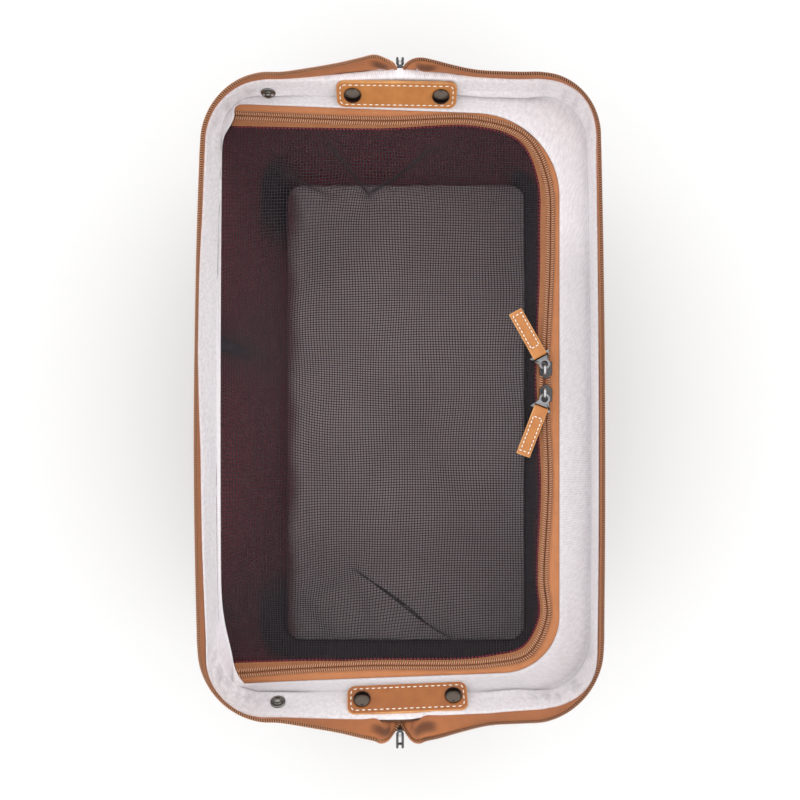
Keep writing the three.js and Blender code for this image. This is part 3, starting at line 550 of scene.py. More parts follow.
# Share of painted shade: less at the head end, none on the left hem, more in hollow crumples, along the
# crease beside the door and at the tucks
shaded = np.maximum(0.4, ramp(collar[..., 1], 150, 90)) * ramp(collar[..., 0], -118, -106)
grey = 0.36 * (1 - wall_share) * shaded + 0.4 * upright * crumple * np.clip(-rough, 0, 1)
grey += bell(row, CREASE_ROW + 0.4, 0.9) * (0.3 * beside_door + 0.12 * pinch)
piece = add_piece("collar_cloth", sheet_of(collar), white_cloth)
mark_points(piece, "crease", np.clip(grey[:, :-1], 0, 1).ravel())
thicken(piece, COLLAR_THICK, 0)
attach(piece, "bag")
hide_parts("collar_lining")


# Net door: dark knitted net, hinged along the left, slack, with folds that its zip pulls in from the edges.
# Single strands cross every 2 mm; all of them together are the one sheet.
NET_PLAN = dict(left=-133, right=102.4, head=197.4, foot=-187.6, corner=31, taper=0.02)
NET_TOP, NET_SAG = 242.5, 9.0
NET_PITCH_X, NET_PITCH_Y = 1.96, 1.76
STRAND_WIDTH, STRAND_HEIGHT, OPEN_STEP, FOLD_STEP = 0.54, 0.45, 4.4, 1.5
NET_LEFT_BOW, ROW_LIFT, COLUMN_LIFT = 5.0, -0.45, -0.2
# Near the hinge the net is dragged askew: how much, where it ends, over what run, and the waves along the net
NET_DRAG, DRAG_END, DRAG_RUN, DRAG_MIDDLE, DRAG_WAVE = 0.45, -66, 12, 40, 200
# Folds: line in plan, pull towards the line, half width, reach, and how far the fold sinks or rises
NET_FOLDS = [
    ([(-27, -127), (-13, -138), (4, -150.5), (22, -163), (42, -175)], 5.7, 3.0, 20, -5.0),
    ([(-36, -123), (-54, -132.7), (-72.5, -143.6)], 1.2, 9.0, 20, 2.0),
    ([(-34, -132), (-22, -158), (-6, -182)], 2.0, 5.0, 18, 2.0),
    ([(-72, -140), (-52, -165), (-36, -184)], 1.8, 5.0, 20, -2.0),
    ([(-104, -120), (-92, -150), (-84, -184)], 1.8, 5.0, 22, -1.8),
    ([(-58.6, 192), (-41, 171), (-23, 150)], 7.0, 5.4, 24, -6.0),
    ([(-21, 151), (0, 165), (20.6, 181), (41, 194)], 7.0, 5.4, 24, -6.0),
    ([(-87, 162), (-68, 152), (-50, 144)], 3.0, 3.6, 18, -2.5),
    ([(30, 150), (48, 166), (56, 188)], 1.2, 6.0, 18, -1.6),
    ([(66, 140), (80, 160), (88, 178)], 1.6, 5.0, 16, -1.8),
    ([(-118, 120), (-96, 150), (-88, 190)], 1.2, 6.0, 22, -1.5),
]
# How the net wanders across, along and up: distance, length of the waves and seed
NET_WANDER = [(1.1, 70, 41), (1.1, 64, 42), (0.5, 48, 43)]


def smooth_line(knots, places):
    """Points on a smooth line through knots, at places counted in knots from the first."""
    knots = np.asarray(knots, float)
    longer = np.vstack([2 * knots[0] - knots[1], knots, 2 * knots[-1] - knots[-2]])
    index = np.clip(places.astype(int), 0, len(knots) - 2)
    t = (places - index)[:, None]
    before, start, end, after = (longer[index + k] for k in range(4))
    gaps = [np.linalg.norm(b - a, axis=1, keepdims=True) ** 0.5
            for a, b in ((before, start), (start, end), (end, after))]
    leave = (start - before) / gaps[0] - (end - before) / (gaps[0] + gaps[1]) + (end - start) / gaps[1]
    arrive = (end - start) / gaps[1] - (after - start) / (gaps[1] + gaps[2]) + (after - end) / gaps[2]
    leaving = (2 * t ** 3 - 3 * t ** 2 + 1) * start + (t ** 3 - 2 * t ** 2 + t) * gaps[1] * leave
    return leaving + (3 * t ** 2 - 2 * t ** 3) * end + (t ** 3 - t ** 2) * gaps[1] * arrive


fold_traces = [smooth_line(line, np.linspace(0, len(line) - 1, 40)) for line, *_ in NET_FOLDS]


def net_place(x, y):
    """Where a point of the flat net comes to lie, with its sag and its folds."""
    along = ramp(y, NET_PLAN["foot"], NET_PLAN["head"])
    slack = np.sin(np.pi * ramp(x, NET_PLAN["left"], NET_PLAN["right"])) * np.sin(np.pi * along)
    free = np.minimum(1, 4 * slack)
    flat = np.stack([x, y, 0 * x], axis=-1)
    moved = flat.copy()
    moved[..., 2] = NET_TOP - NET_SAG * np.sqrt(slack) * np.minimum(1, 2 * slack)
    for trace, (_, pull, width, reach, sink) in zip(fold_traces, NET_FOLDS):
        gap = flat[..., None, :2] - trace
        closest = np.argmin((gap ** 2).sum(axis=-1), axis=-1)
        beside = np.take_along_axis(gap, closest[..., None, None], axis=-2)[..., 0, :]
        way = unit(np.gradient(trace, axis=0))[closest]
        aside = beside[..., 1] * way[..., 0] - beside[..., 0] * way[..., 1]
        past = (beside * way).sum(axis=-1)
        fade = np.sin(np.pi * (0.08 + 0.84 * closest / (len(trace) - 1))) ** 0.6 * bell(past, 0, 8) * free
        shift = -pull * fade * np.tanh(aside / width) * bell(aside, 0, reach)
        moved[..., 0] -= shift * way[..., 1]
        moved[..., 1] += shift * way[..., 0]
        moved[..., 2] += sink * fade * bell(aside, 0, 1.6 * width)
    wander = np.stack([size * ripples(flat, *wave) for size, *wave in NET_WANDER], axis=-1)
    moved += wander * free[..., None]
    # The drag goes one way above and the other way below
    dragged = -NET_DRAG * DRAG_RUN * np.log1p(np.exp((DRAG_END - x) / DRAG_RUN))
    dragged = dragged * np.sin(2 * np.pi * (y - DRAG_MIDDLE) / DRAG_WAVE) * np.sqrt(np.sin(np.pi * along))
    moved[..., 1] += dragged - NET_PLAN["taper"] * x * y / NET_PLAN["head"]
    return moved


def tube_faces(rings, sides, offset, closed):
    """Quads between rings of a tube and the caps of its ends, as lists of point numbers from an offset."""
    starts = offset + sides * np.arange(rings if closed else rings - 1)[:, None]
    ends = offset + sides * ((np.arange(len(starts)) + 1) % rings)[:, None]
    near_side = np.arange(sides)
    far_side = (near_side + 1) % sides
    quads = np.stack([starts + near_side, starts + far_side, ends + far_side, ends + near_side], axis=-1)
    faces = quads.reshape(-1, 4).tolist()
    if not closed:
        faces.append([offset + k for k in reversed(range(sides))])
        faces.append([offset + sides * (rings - 1) + k for k in range(sides)])
    return faces


def add_tubes(name, tubes, material, closed=False):
    """One object from many tubes, each a table of rings of points in metres."""
    places, faces, offset = [], [], 0
    for rings in tubes:
        faces.extend(tube_faces(*rings.shape[:2], offset, closed))
        places.append(rings.reshape(-1, 3))
        offset += len(places[-1])
    return add_mesh(name, np.concatenate(places), faces, material)


def strand(start, end, lift):
    """Rings of one strand of the net, three-sided, close together where it runs into a fold."""
    fine = between(np.array(start), end, np.linspace(0, 1, max(2, round(math.dist(start, end)))))
    gaps = np.linalg.norm(fine[:, None, :] - np.concatenate(fold_traces), axis=2).min(axis=1)
    crowd = 1 / OPEN_STEP + (1 / FOLD_STEP - 1 / OPEN_STEP) * bell(gaps, 0, 9)
    run = np.cumsum(crowd) - crowd[0]
    even = np.linspace(0, run[-1], max(2, math.ceil(run[-1]) + 1))
    middle = net_place(*(np.interp(even, run, column) for column in fine.T)) + (0, 0, lift)
    way = np.gradient(middle, axis=0)
    half = unit(np.column_stack([-way[:, 1], way[:, 0], 0 * even])) * STRAND_WIDTH / 2
    return to_frame(np.stack([middle - half, middle + half, middle + (0, 0, STRAND_HEIGHT)], axis=1))


def corner_cut(into):
    """How much shorter the net is at a distance into its rounded corners."""
    return NET_PLAN["corner"] - math.sqrt(max(0, NET_PLAN["corner"] ** 2 - max(0, into) ** 2))


tubes = []
net_left, net_right, net_head, net_foot = (NET_PLAN[side] for side in SIDES)
for y in np.arange(net_foot + 0.5, net_head, NET_PITCH_Y):
    into = max(y - net_head, net_foot - y) + NET_PLAN["corner"]
    begin = net_left + NET_LEFT_BOW * ((y - LEFT_BOW_MIDDLE) / BOW_REACH) ** 2
    tubes.append(strand((begin, y), (net_right - corner_cut(into), y), ROW_LIFT))
for x in np.arange(net_left + 0.5, net_right, NET_PITCH_X):
    short = corner_cut(x - net_right + NET_PLAN["corner"])
    reach = BOW_REACH * math.sqrt((x - net_left) / NET_LEFT_BOW)
    low = max(net_foot + short, LEFT_BOW_MIDDLE - reach)
    high = min(net_head - short, LEFT_BOW_MIDDLE + reach)
    tubes.append(strand((x, low), (x, high), COLUMN_LIFT))
net_thread = uneven_material("dark net thread", (0.058, 0.048, 0.055), (0.03, 0.025, 0.029), 320.0,
                             Roughness=0.6, Specular_IOR_Level=0.2)
piece = add_tubes("net_door", tubes, net_thread)
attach(piece, "bag")
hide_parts("mesh_panel")


# Tapes of the door's zip: two tan twill tapes, one on the net's edge and one on the collar's ledge.
# They run from the hinge at the head, round the right side, to the hinge at the foot.
DOOR_TAPE_TOP, TAPE_THICK, TAPE_SPLIT, TAPE_HIDDEN = 244.2, 1.2, 0.35, 3.0
DOOR_ROUTE = [
    (-121, 203.6), (-15, 199.6), (56, 200), (90, 188), (105.3, 158), (107.5, 110), (104, 24), (104, 2),
    (106.2, -60), (103, -128), (104.8, -156), (92, -181), (66, -188), (-25, -190), (-75, -192.4),
    (-121, -196),
]
TAPE_PLACES = [0, 0.15, 0.24, 0.34, 0.5, 0.66, 0.74, 0.8, 0.9, 1]
INNER_WIDTHS = [7.4, 4.8, 3.8, 7.4, 6, 4.4, 5.6, 3.8, 3.8, 7.6]
OUTER_WIDTHS = [7.5, 8.2, 6.6, 5.9, 7.6, 9.4, 8, 8, 8.3, 6.5]
# Across a tape, from the coil to its outer edge: share of the width, and rise
TAPE_ROWS = [(0, 0), (0.3, 0), (0.42, 0.25), (0.5, 0.35), (0.58, 0.2), (0.75, 0), (0.9, 0.12), (1, 0.05)]
door_trace = smooth_line(DOOR_ROUTE, np.linspace(0, len(DOOR_ROUTE) - 1, 4000))
DOOR_LENGTH = run_along(door_trace)[-1]


def door_line(lengths):
    """Places on the door's zip and the level direction away from the net, at lengths from its start."""
    way = unit(at_lengths(lengths + 0.5, door_trace) - at_lengths(lengths - 0.5, door_trace))
    return at_lengths(lengths, door_trace), np.column_stack([-way[:, 1], way[:, 0]])


def door_tape(widths, side, hidden):
    """Table of points of one tape: a slight cord beside the coil, a flat web and a firm outer edge."""
    lengths = np.linspace(0, DOOR_LENGTH, 421)
    place, away = door_line(lengths)
    width = np.interp(lengths / DOOR_LENGTH, TAPE_PLACES, widths) + hidden * np.minimum(lengths / 15, 1)
    rows = []
    for share, rise in TAPE_ROWS:
        level = place + away * (side * (TAPE_SPLIT + (width - TAPE_SPLIT) * share))[:, None]
        wave = 0.25 * ripples(np.column_stack([level, lengths]), 34, 51) * share
        rows.append(lifted(level, DOOR_TAPE_TOP + rise + wave))
    return np.stack(rows)


def tape_material(name, light, dark):
    """Twill zip tape between two tans."""
    return cloth_material(name, light, dark, 1.1, 1.0, 0.3, blotch=120.0, Roughness=0.8, Sheen_Weight=0.04)


# Painted light and shade: both tapes are one tan cloth, painted lighter on the outer tape and darker on the
# inner tape in the door
lit_outer_tan = tape_material("tan zip tape", (0.64, 0.26, 0.108), (0.52, 0.2, 0.08))
shaded_inner_tan = tape_material("door's tan zip tape with painted shade", (0.4, 0.158, 0.064), (0.31, 0.115, 0.045))
DOOR_TAPES = [
    ("outer", OUTER_WIDTHS, 1, TAPE_HIDDEN, lit_outer_tan),
    ("inner", INNER_WIDTHS, -1, 0.0, shaded_inner_tan),
]
for name, widths, side, hidden, tan in DOOR_TAPES:
    piece = add_piece(f"door_tape_{name}", sheet_of(door_tape(widths, side, hidden), turned=side < 0), tan)
    thicken(piece, TAPE_THICK)
    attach(piece, "bag")
    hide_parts(f"door_zip_{name}_tape")


# Coils of the door's zip: one nylon wire wound into loops along the inner edge of each tape.
# The loops of the two rows meet in the middle and part only between the two sliders.
COIL_PITCH, COIL_WIRE, LOOP_STEPS = 1.6, 0.36, 8
COIL_OFFSET, COIL_RISE, PARTED_OFFSET = 1.75, 1.15, 1.3
DOOR_SLIDER_X, PARTED_Y, PARTED_SPREAD = 104.0, 13.2, 5.0
# Half width and half height of the loops, and of the filler cord inside them
DOOR_LOOP, DOOR_CORD = (1.25, 0.75), (1.2, 0.6)


def coil_rings(middle, across, up, half_width, half_height):
    """Rings of a wire wound in flat loops about a middle line given at every step."""
    angle = 2 * np.pi * np.arange(len(middle)) / LOOP_STEPS
    lean_out = np.cos(angle)[:, None] * across
    lean_up = np.sin(angle)[:, None] * up
    wire = middle + half_width * lean_out + half_height * lean_up
    radial = unit(half_height * lean_out + half_width * lean_up)
    beside = unit(np.cross(np.gradient(wire, axis=0), radial))
    corners = [np.cos(t) * radial + np.sin(t) * beside for t in np.radians([45, 135, 225, 315])]
    return to_frame(np.stack([wire + COIL_WIRE * corner for corner in corners], axis=1))


def cord_rings(middle, across, up, half_width, half_height):
    """Rings of the filler cord inside a coil."""
    turns = np.radians([30, 90, 150, 210, 270, 330])
    ring = [middle + half_width * np.cos(t) * across + half_height * np.sin(t) * up for t in turns]
    return to_frame(np.stack(ring, axis=1))


def add_coil(zipper, half, line, loop, cord, plastic, filler):
    """One row of coil and its cord, along a line given by its middle and its directions across and up."""
    piece = add_tubes(f"{zipper}_coil_{half}", [coil_rings(*line, *loop)], plastic)
    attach(piece, "bag")
    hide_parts(f"{zipper}_zip_{half}_coil")
    every_second_loop = [steps[::2 * LOOP_STEPS] for steps in line]
    piece = add_tubes(f"{zipper}_coil_cord_{half}", [cord_rings(*every_second_loop, *cord)], filler)
    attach(piece, "bag")


coil_plastic = uneven_material("tan coil plastic", (0.84, 0.44, 0.24), (0.6, 0.27, 0.13), 700.0,
                               Roughness=0.35, Coat_Weight=0.25)
# The filler cord inside the coils is real; its dark brown is painted shade in the gaps between the loops
filler = uneven_material("door filler cord, painted shade", (0.15, 0.052, 0.023), (0.09, 0.03, 0.013), 600.0, Roughness=0.8)
lengths = 2 + COIL_PITCH * np.arange(int((DOOR_LENGTH - 4) / COIL_PITCH) * LOOP_STEPS) / LOOP_STEPS
place, away = door_line(lengths)
offset = COIL_OFFSET + PARTED_OFFSET * near(place, DOOR_SLIDER_X, PARTED_Y, PARTED_SPREAD)
for name, side in (("outer", 1), ("inner", -1)):
    middle = lifted(place + away * (side * offset)[:, None], DOOR_TAPE_TOP + COIL_RISE)
    line = (middle, lifted(away * side, 0), np.broadcast_to([0, 0, 1.0], middle.shape))
    add_coil("door", name, line, DOOR_LOOP, DOOR_CORD, coil_plastic, filler)


# Sewing of the door's zip: tan thread along both coils, and dark red thread that holds the net to its tape.
# Threads only; the red row shows as dots along the net's edge.
SEWING_PITCH, SEWING_OFFSET, RED_OFFSET = 2.6, 3.35, 0.7
# Length and width of the stitches
COIL_STITCH, RED_STITCH = (2.1, 0.5), (1.6, 1.0)
coil_thread = uneven_material("tan sewing thread", (0.6, 0.33, 0.18), (0.42, 0.2, 0.1), 900.0, Roughness=0.7)
red_thread = uneven_material("dark red thread", (0.4, 0.035, 0.06), (0.22, 0.02, 0.04), 500.0, Roughness=0.7)
lengths = np.arange(3, DOOR_LENGTH - 3, SEWING_PITCH)
place, away = door_line(lengths)
along = np.column_stack([away[:, 1], -away[:, 0], 0 * lengths])
up = np.broadcast_to([0, 0, 1.0], along.shape)
rows = []
for offset in (SEWING_OFFSET, -SEWING_OFFSET):
    rows.append((to_frame(lifted(place + away * offset, DOOR_TAPE_TOP + 0.25)), along, up, *COIL_STITCH))
piece = add_stitches("door_coil_sewing", rows, coil_thread)
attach(piece, "bag")
inner_width = np.interp(lengths / DOOR_LENGTH, TAPE_PLACES, INNER_WIDTHS)
spots = lifted(place - away * (inner_width + RED_OFFSET)[:, None], DOOR_TAPE_TOP - 0.5)
piece = add_stitches("net_edge_sewing", [(to_frame(spots), along, up, *RED_STITCH)], red_thread)
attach(piece, "bag")


# Sliders of the two zips: cast metal shields with side flanges and a bridge over the top, plated dark grey.
# The door's two meet nose to nose; the rim's two hang outside the end walls.
SLIDER_PLATE, BRIDGE_RADIUS, BRIDGE_WIRE, BRIDGE_RISE = 1.6, 3.2, 1.0, 1.2
DOOR_SLIDER_BASE, LOWER_SLIDER_Y = 247.0, 4.9
# Place along the zip, turn of the nose, swing of the pull, lean of the bridge, and the pull's body
DOOR_SLIDERS = [
    ("upper_door", UPPER_SLIDER_Y, 0, 28.8, -1.4, "upper_pull"),
    ("lower_door", LOWER_SLIDER_Y, 180, -20.5, 1.4, "lower_pull"),
]
# Place along the bag, height, end of the bag, reach of the wire pull and its body
RIM_SLIDERS = [("head_rim", 231.7, 257.5, 1, 3, "head_bail"), ("foot_rim", -229.4, 258.0, -1, 9, "foot_bail")]
HALF_SHIELD = [
    (3.4, 6.2), (4.3, 5.6), (4.5, 4.4), (4.1, 2.4), (4.5, 0.6), (4.3, -1.6), (3.3, -3.9), (1.7, -5.6),
]
SHIELD = [*HALF_SHIELD, (0.0, -6.2), *((-x, y) for x, y in reversed(HALF_SHIELD))]
FLANGE = [(4.45, 0.7), (3.55, 0.7), (3.55, -3.9), (4.45, -3.2)]


def metal_material(name, colour, worn, rough, **sockets):
    """Plated metal: brushed unevenly between two tones, with slightly worn patches."""
    material, tree, shader = new_material(name, Metallic=1.0, **sockets)
    brushed = patches(tree, 450.0, 4.0)
    dull = add_node(tree, "MapRange", {0: brushed, 3: rough * 0.7, 4: rough * 1.4})
    set_inputs(shader, {"Base Color": blend(tree, brushed, colour, worn), "Roughness": dull})
    return material


def seat_at(place):
    """Seat of a piece at a place in millimetres from the middle of the mouth."""
    return Matrix.Translation(Vector(to_frame(place)))


def turn_about(axis, degrees):
    """Turn of a piece in its seat."""
    return Matrix.Rotation(math.radians(degrees), 4, axis)


def points_in(parts):
    """The points among what a bmesh operator gives."""
    return [part for part in parts if isinstance(part, bmesh.types.BMVert)]


def edges_in(parts):
    """The edges among what a bmesh operator gives."""
    return [part for part in parts if isinstance(part, bmesh.types.BMEdge)]


def edges_among(bm, points):
    """Edges that join two of these points."""
    return [edge for edge in bm.edges if all(vert in points for vert in edge.verts)]


def draw_out(bm, edges, move):
    """Draws edges out into faces by a move in millimetres, and gives the points of the far side."""
    far = points_in(bmesh.ops.extrude_edge_only(bm, edges=edges)["geom"])
    bmesh.ops.translate(bm, verts=far, vec=Vector(move) * MM)
    return far


def round_edges(bm, edges, width, segments=3, clamped=False):
    """Rounds edges off over a width in millimetres."""
    bmesh.ops.bevel(bm, geom=edges, offset=width * MM, offset_type="OFFSET", segments=segments, profile=0.5,
                    affect="EDGES", clamp_overlap=clamped, material=-1)


def plate_on(bm, outline, bottom, top, round_off):
    """Flat plate from an outline in millimetres, with its upper edges rounded off."""
    first = bm.faces.new([bm.verts.new(Vector((x, y, bottom)) * MM) for x, y in outline])
    grown = bmesh.ops.extrude_face_region(bm, geom=[first])["geom"]
    bmesh.ops.translate(bm, verts=points_in(grown), vec=(0, 0, (top - bottom) * MM))
    round_edges(bm, edges_in(grown), round_off)


def slider_mesh(lean):
    """Slider in its own place: plate below the origin, nose towards -Y, bridge in an arc about the origin."""
    bm = bmesh.new()
    top, below = -BRIDGE_RISE, -BRIDGE_RISE - SLIDER_PLATE
    plate_on(bm, SHIELD, below, top - 0.35, 0.55)
    plate_on(bm, [(x * 0.62, y * 0.66) for x, y in SHIELD], top - 0.6, top + 0.1, 0.35)
    for side in (-1, 1):
        plate_on(bm, [(side * x, y) for x, y in FLANGE][::side], below - 1.3, below + 0.3, 0.15)
    ring = bmesh.ops.create_circle(bm, segments=12, radius=BRIDGE_WIRE * MM)["verts"]
    bmesh.ops.scale(bm, verts=ring, vec=(1, 0.8, 1))
    bmesh.ops.translate(bm, verts=ring, vec=Vector((lean, BRIDGE_RADIUS, top)) * MM)
    ring = draw_out(bm, edges_among(bm, ring), (0, 0, BRIDGE_RISE))
    arc = bmesh.ops.spin(bm, geom=ring + edges_among(bm, ring), axis=(1, 0, 0), angle=math.pi, steps=16,
                         cent=(0, 0, 0))
    draw_out(bm, edges_in(arc["geom_last"]), (0, 0, top))
    bmesh.ops.holes_fill(bm, edges=[edge for edge in bm.edges if edge.is_boundary])
    bmesh.ops.recalc_face_normals(bm, faces=bm.faces)
    for face in bm.faces:
        face.material_index = int(face.calc_center_median().z > -0.2 * MM)
    return bm


gunmetal = metal_material("gunmetal", (0.055, 0.055, 0.058), (0.11, 0.11, 0.115), 0.26)
bright_metal = metal_material("bright worn metal", (0.45, 0.45, 0.45), (0.6, 0.6, 0.6), 0.35)
bridge_height = SLIDER_PLATE + BRIDGE_RISE
seats, leans = {}, {}
for name, y, turn, _, lean, _ in DOOR_SLIDERS:
    seats[name] = seat_at((DOOR_SLIDER_X, y, DOOR_SLIDER_BASE + bridge_height)) @ turn_about("Z", turn)
    leans[name] = lean
for name, y, z, side, _, _ in RIM_SLIDERS:
    seat = seat_at((0, y + side * bridge_height, z)) @ turn_about("X", -side * 90)
    seats[name] = seat @ turn_about("Z", 180 if side > 0 else 0)
    leans[name] = 0.0
for name, seat in seats.items():
    slider = slider_mesh(leans[name])
    piece = add_piece(f"{name}_slider_body", slider, gunmetal, bright_metal, seat=seat, sharp=38)
    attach(piece, "bag")
    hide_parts(f"{name}_slider")


# Links of the door's pulls: flat stamped triangles of bright metal, hooked under the sliders' bridges.
# Each holds the leather strip on a bar at its wide end.
def round_sharp_edges(bm, beyond, width, segments):
    """Rounds off the edges where two faces meet at more than an angle in degrees."""
    sharp = [edge for edge in bm.edges
             if len(edge.link_faces) == 2 and edge.calc_face_angle() > math.radians(beyond)]
    round_edges(bm, sharp, width, segments, clamped=True)


link_metal = metal_material("grey link metal", (0.22, 0.22, 0.225), (0.36, 0.36, 0.37), 0.34)
for name, _, _, _, lean, body in DOOR_SLIDERS:
    # The link's solid, welded, with its edges rounded off
    link = bmesh.new()
    link.from_mesh(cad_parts[f"{name}_link"].data)
    bmesh.ops.remove_doubles(link, verts=link.verts, dist=2e-6)
    bmesh.ops.dissolve_limit(link, angle_limit=math.radians(1), verts=link.verts, edges=link.edges)
    round_sharp_edges(link, 50, 0.4, 3)
    beside = Matrix.Translation(seats[name].to_3x3() @ Vector((lean * MM, 0, 0)))
    piece = add_piece(f"{name}_link_plate", link, link_metal, seat=beside, sharp=38)
    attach(piece, body)
    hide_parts(f"{name}_link")


# Leather pulls of the door's zip: a tan strip folded round the link's bar, glued and sewn with white thread.
# The cut edges are paler, and the two layers show along the sides.
PULL_LENGTH, PULL_WIDTH, PULL_LAYER, PULL_DROOP = 43.0, 10.2, 1.4, 4.0
LINK_HOLE_REACH, LINK_BAR_REACH = 4.2, 7.45
PULL_END, PULL_HALF, BAR_ROUND = PULL_LENGTH - LINK_BAR_REACH, 0.78, 1.55
# Round of stitches: where it starts, and how far it keeps from the end and the sides
SEWN_START, SEWN_END_GAP, SEWN_SIDE_GAP = 6.5, 3.2, 2
# Pitch, length and width of the stitches
PULL_STITCH = (3.1, 2.4, 0.9)


def leather_material(name, light, dark, rough):
    """Smooth leather: cloudy tan with fine pores, a faint grain and a waxed sheen."""
    material, tree, shader = new_material(name, Coat_Weight=0.06, Coat_Roughness=0.35)
    cloudy = patches(tree, 130.0, 5.0)
    place = add_node(tree, "TexCoord", output="Object")
    pores = add_node(tree, "TexVoronoi", {"Vector": place, "Scale": 1500.0}, "Distance")
    share = add_node(tree, "MapRange", {0: cloudy, 1: 0.35, 2: 0.65})
    dull = add_node(tree, "MapRange", {0: cloudy, 3: rough * 0.8, 4: rough * 1.25})
    bump = add_node(tree, "Bump", {"Height": pores, "Distance": 0.25 * MM, "Strength": 0.35})
    set_inputs(shader, {"Base Color": blend(tree, share, dark, light), "Roughness": dull, "Normal": bump})
    return material


def chain_on(bm, points):
    """Points in millimetres, and the edges that join them into a chain."""
    chain = [bm.verts.new(Vector(point) * MM) for point in points]
    return chain, [bm.edges.new(pair) for pair in zip(chain, chain[1:])]


def pull_mesh():
    """Strip in the bar's seat: a hairpin round the bar, drawn across, thickened and softened at its edges."""
    upper = [(PULL_END * share, PULL_HALF) for share in (1, 0.75, 0.5)]
    upper += [(7, PULL_HALF), (4, 1.0), (2, 1.38)]
    bend = np.radians(np.linspace(75, 285, 12))
    hairpin = upper + [(BAR_ROUND * math.cos(t), BAR_ROUND * math.sin(t)) for t in bend]
    hairpin += [(y, -z) for y, z in reversed(upper)]
    bm = bmesh.new()
    _, edges = chain_on(bm, [(-PULL_WIDTH / 2, y, z) for y, z in hairpin])
    draw_out(bm, edges, (PULL_WIDTH, 0, 0))
    bmesh.ops.recalc_face_normals(bm, faces=bm.faces)
    bmesh.ops.solidify(bm, geom=bm.faces[:], thickness=PULL_LAYER * MM)
    centre = sum((vert.co for vert in bm.verts), Vector()) / len(bm.verts)
    bmesh.ops.translate(bm, verts=bm.verts, vec=(-centre.x, 0, -centre.z))
    round_sharp_edges(bm, 60, 0.5, 2)
    bmesh.ops.recalc_face_normals(bm, faces=bm.faces)
    for face in bm.faces:
        cut_end = face.normal.y > 0.25 and len(face.verts) == 4
        face.material_index = int(abs(face.normal.x) > 0.25 or cut_end)
    return bm


def sew_round(name, seat, corners, height, pitch, length, width):
    """White stitches round a loop of points on a leather face, given in millimetres in its seat."""
    loop = np.array([*corners, corners[0]], float)
    run = run_along(loop)[-1]
    count = round(run / pitch)
    spots = run * (np.arange(count) + 0.5) / count
    place = at_lengths(spots, loop)
    axes = np.array(seat.to_3x3()).T
    ways = lifted(at_lengths(spots + 0.3, loop) - place, 0) @ axes
    places = lifted(place, height) * MM @ axes + np.array(seat.translation)
    ups = np.broadcast_to(axes[2], ways.shape)
    return add_stitches(name, [(places, ways, ups, length, width)], white_thread)


leather = leather_material("tan leather", (0.5, 0.194, 0.045), (0.43, 0.155, 0.034), 0.42)
cut_edge = leather_material("leather cut edge", (0.7, 0.36, 0.13), (0.55, 0.25, 0.085), 0.5)
white_thread = uneven_material("white sewing thread", (0.92, 0.88, 0.8), (0.76, 0.71, 0.62), 800.0,
                               Roughness=0.6)
far, half = PULL_END - SEWN_END_GAP, PULL_WIDTH / 2 - SEWN_SIDE_GAP
sewn_loop = [(-half, SEWN_START), (half, SEWN_START), (half, far), (-half, far)]
for name, _, _, swing, lean, body in DOOR_SLIDERS:
    swivel = seats[name] @ Matrix.Translation((lean * MM, LINK_HOLE_REACH * MM, 0)) @ turn_about("Z", swing)
    bar = swivel @ Matrix.Translation((0, LINK_BAR_REACH * MM, 0)) @ turn_about("X", -PULL_DROOP)
    piece = add_piece(f"{name}_pull_leather", pull_mesh(), leather, cut_edge, seat=bar, sharp=50)
    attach(piece, body)
    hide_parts(f"{name}_pull")
    top = PULL_HALF + PULL_LAYER / 2 + 0.05
    piece = sew_round(f"{name}_pull_stitches", bar, sewn_loop, top, *PULL_STITCH)
    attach(piece, body)


# Tapes of the rim zip, opened all round: one half on each long side, sewn to the rim, its teeth outermost.
# At both ends the halves rise in ears, curl over and run down outside the wall to the sliders.
RIM_SEAM_HEIGHT, RIM_TAPE_HEIGHT, RIM_BODY_START = 264.0, 277.6, 72.0
RIM_TAPE_STEP, RIM_TAPE_THICK = 1.6, 1.1
RIM_TEETH = dict(left=-139.4, right=138.7, head=222.5, foot=-219, corners=[45, 48, 49, 40], left_bow=4,
                 right_bow=2)
RIM_SEAM = inset(SHELL_ROWS[-1], 1.5)
# Across, out and rise of the teeth, whether they hang outside the wall, then the same for the sewn edge
EAR_ROWS = [
    (60, 1.5, 0, 0, 60, 1.6, -14.4), (41, 5.4, 0.6, 0, 41, 3.4, -14.4), (26, 9, 1.8, 0, 26, 4.0, -14.4),
    (17, 10.6, 2.6, 0, 17, 4.4, -14.2), (10.5, 8.6, -1, 1, 13, 5.4, -11.6), (5.6, 7, -9, 1, 11, 5.6, -15.6),
    (3.5, 6, -17, 1, 10.2, 5.4, -20), (3.2, 5.8, -24.6, 1, 9.8, 5.3, -24.6),
]
# Side and end of each ear: share of its width, share of its reach, and what its shoulder adds
EARS = {
    (-1, 1): (1.0, 1.0, 1.4), (1, 1): (0.87, 0.82, 0.2),
    (-1, -1): (1.0, 1.02, 1.8), (1, -1): (1.0, 1.02, 0.0),
}
# At the head the tapes pass outside the collar's lip: by how far, at distances from the middle
HEAD_TEETH_OUT = ((3.3, 5.6, 8), (0, 1.2, 0))
HEAD_SEWN_OUT = ((3.5, 5.6, 10.5, 26, 60), (0.8, 2.4, 3, 1.7, 0))
HEAD_SEWN_DROP = ((3.5, 10.5, 17), (0, 3, 0))
# At the foot they stand open above the slider, by rises of the teeth, and are sewn close to the collar
FOOT_TEETH_OUT = ((-17, -9, -1), (-0.8, 4.4, 2.6))


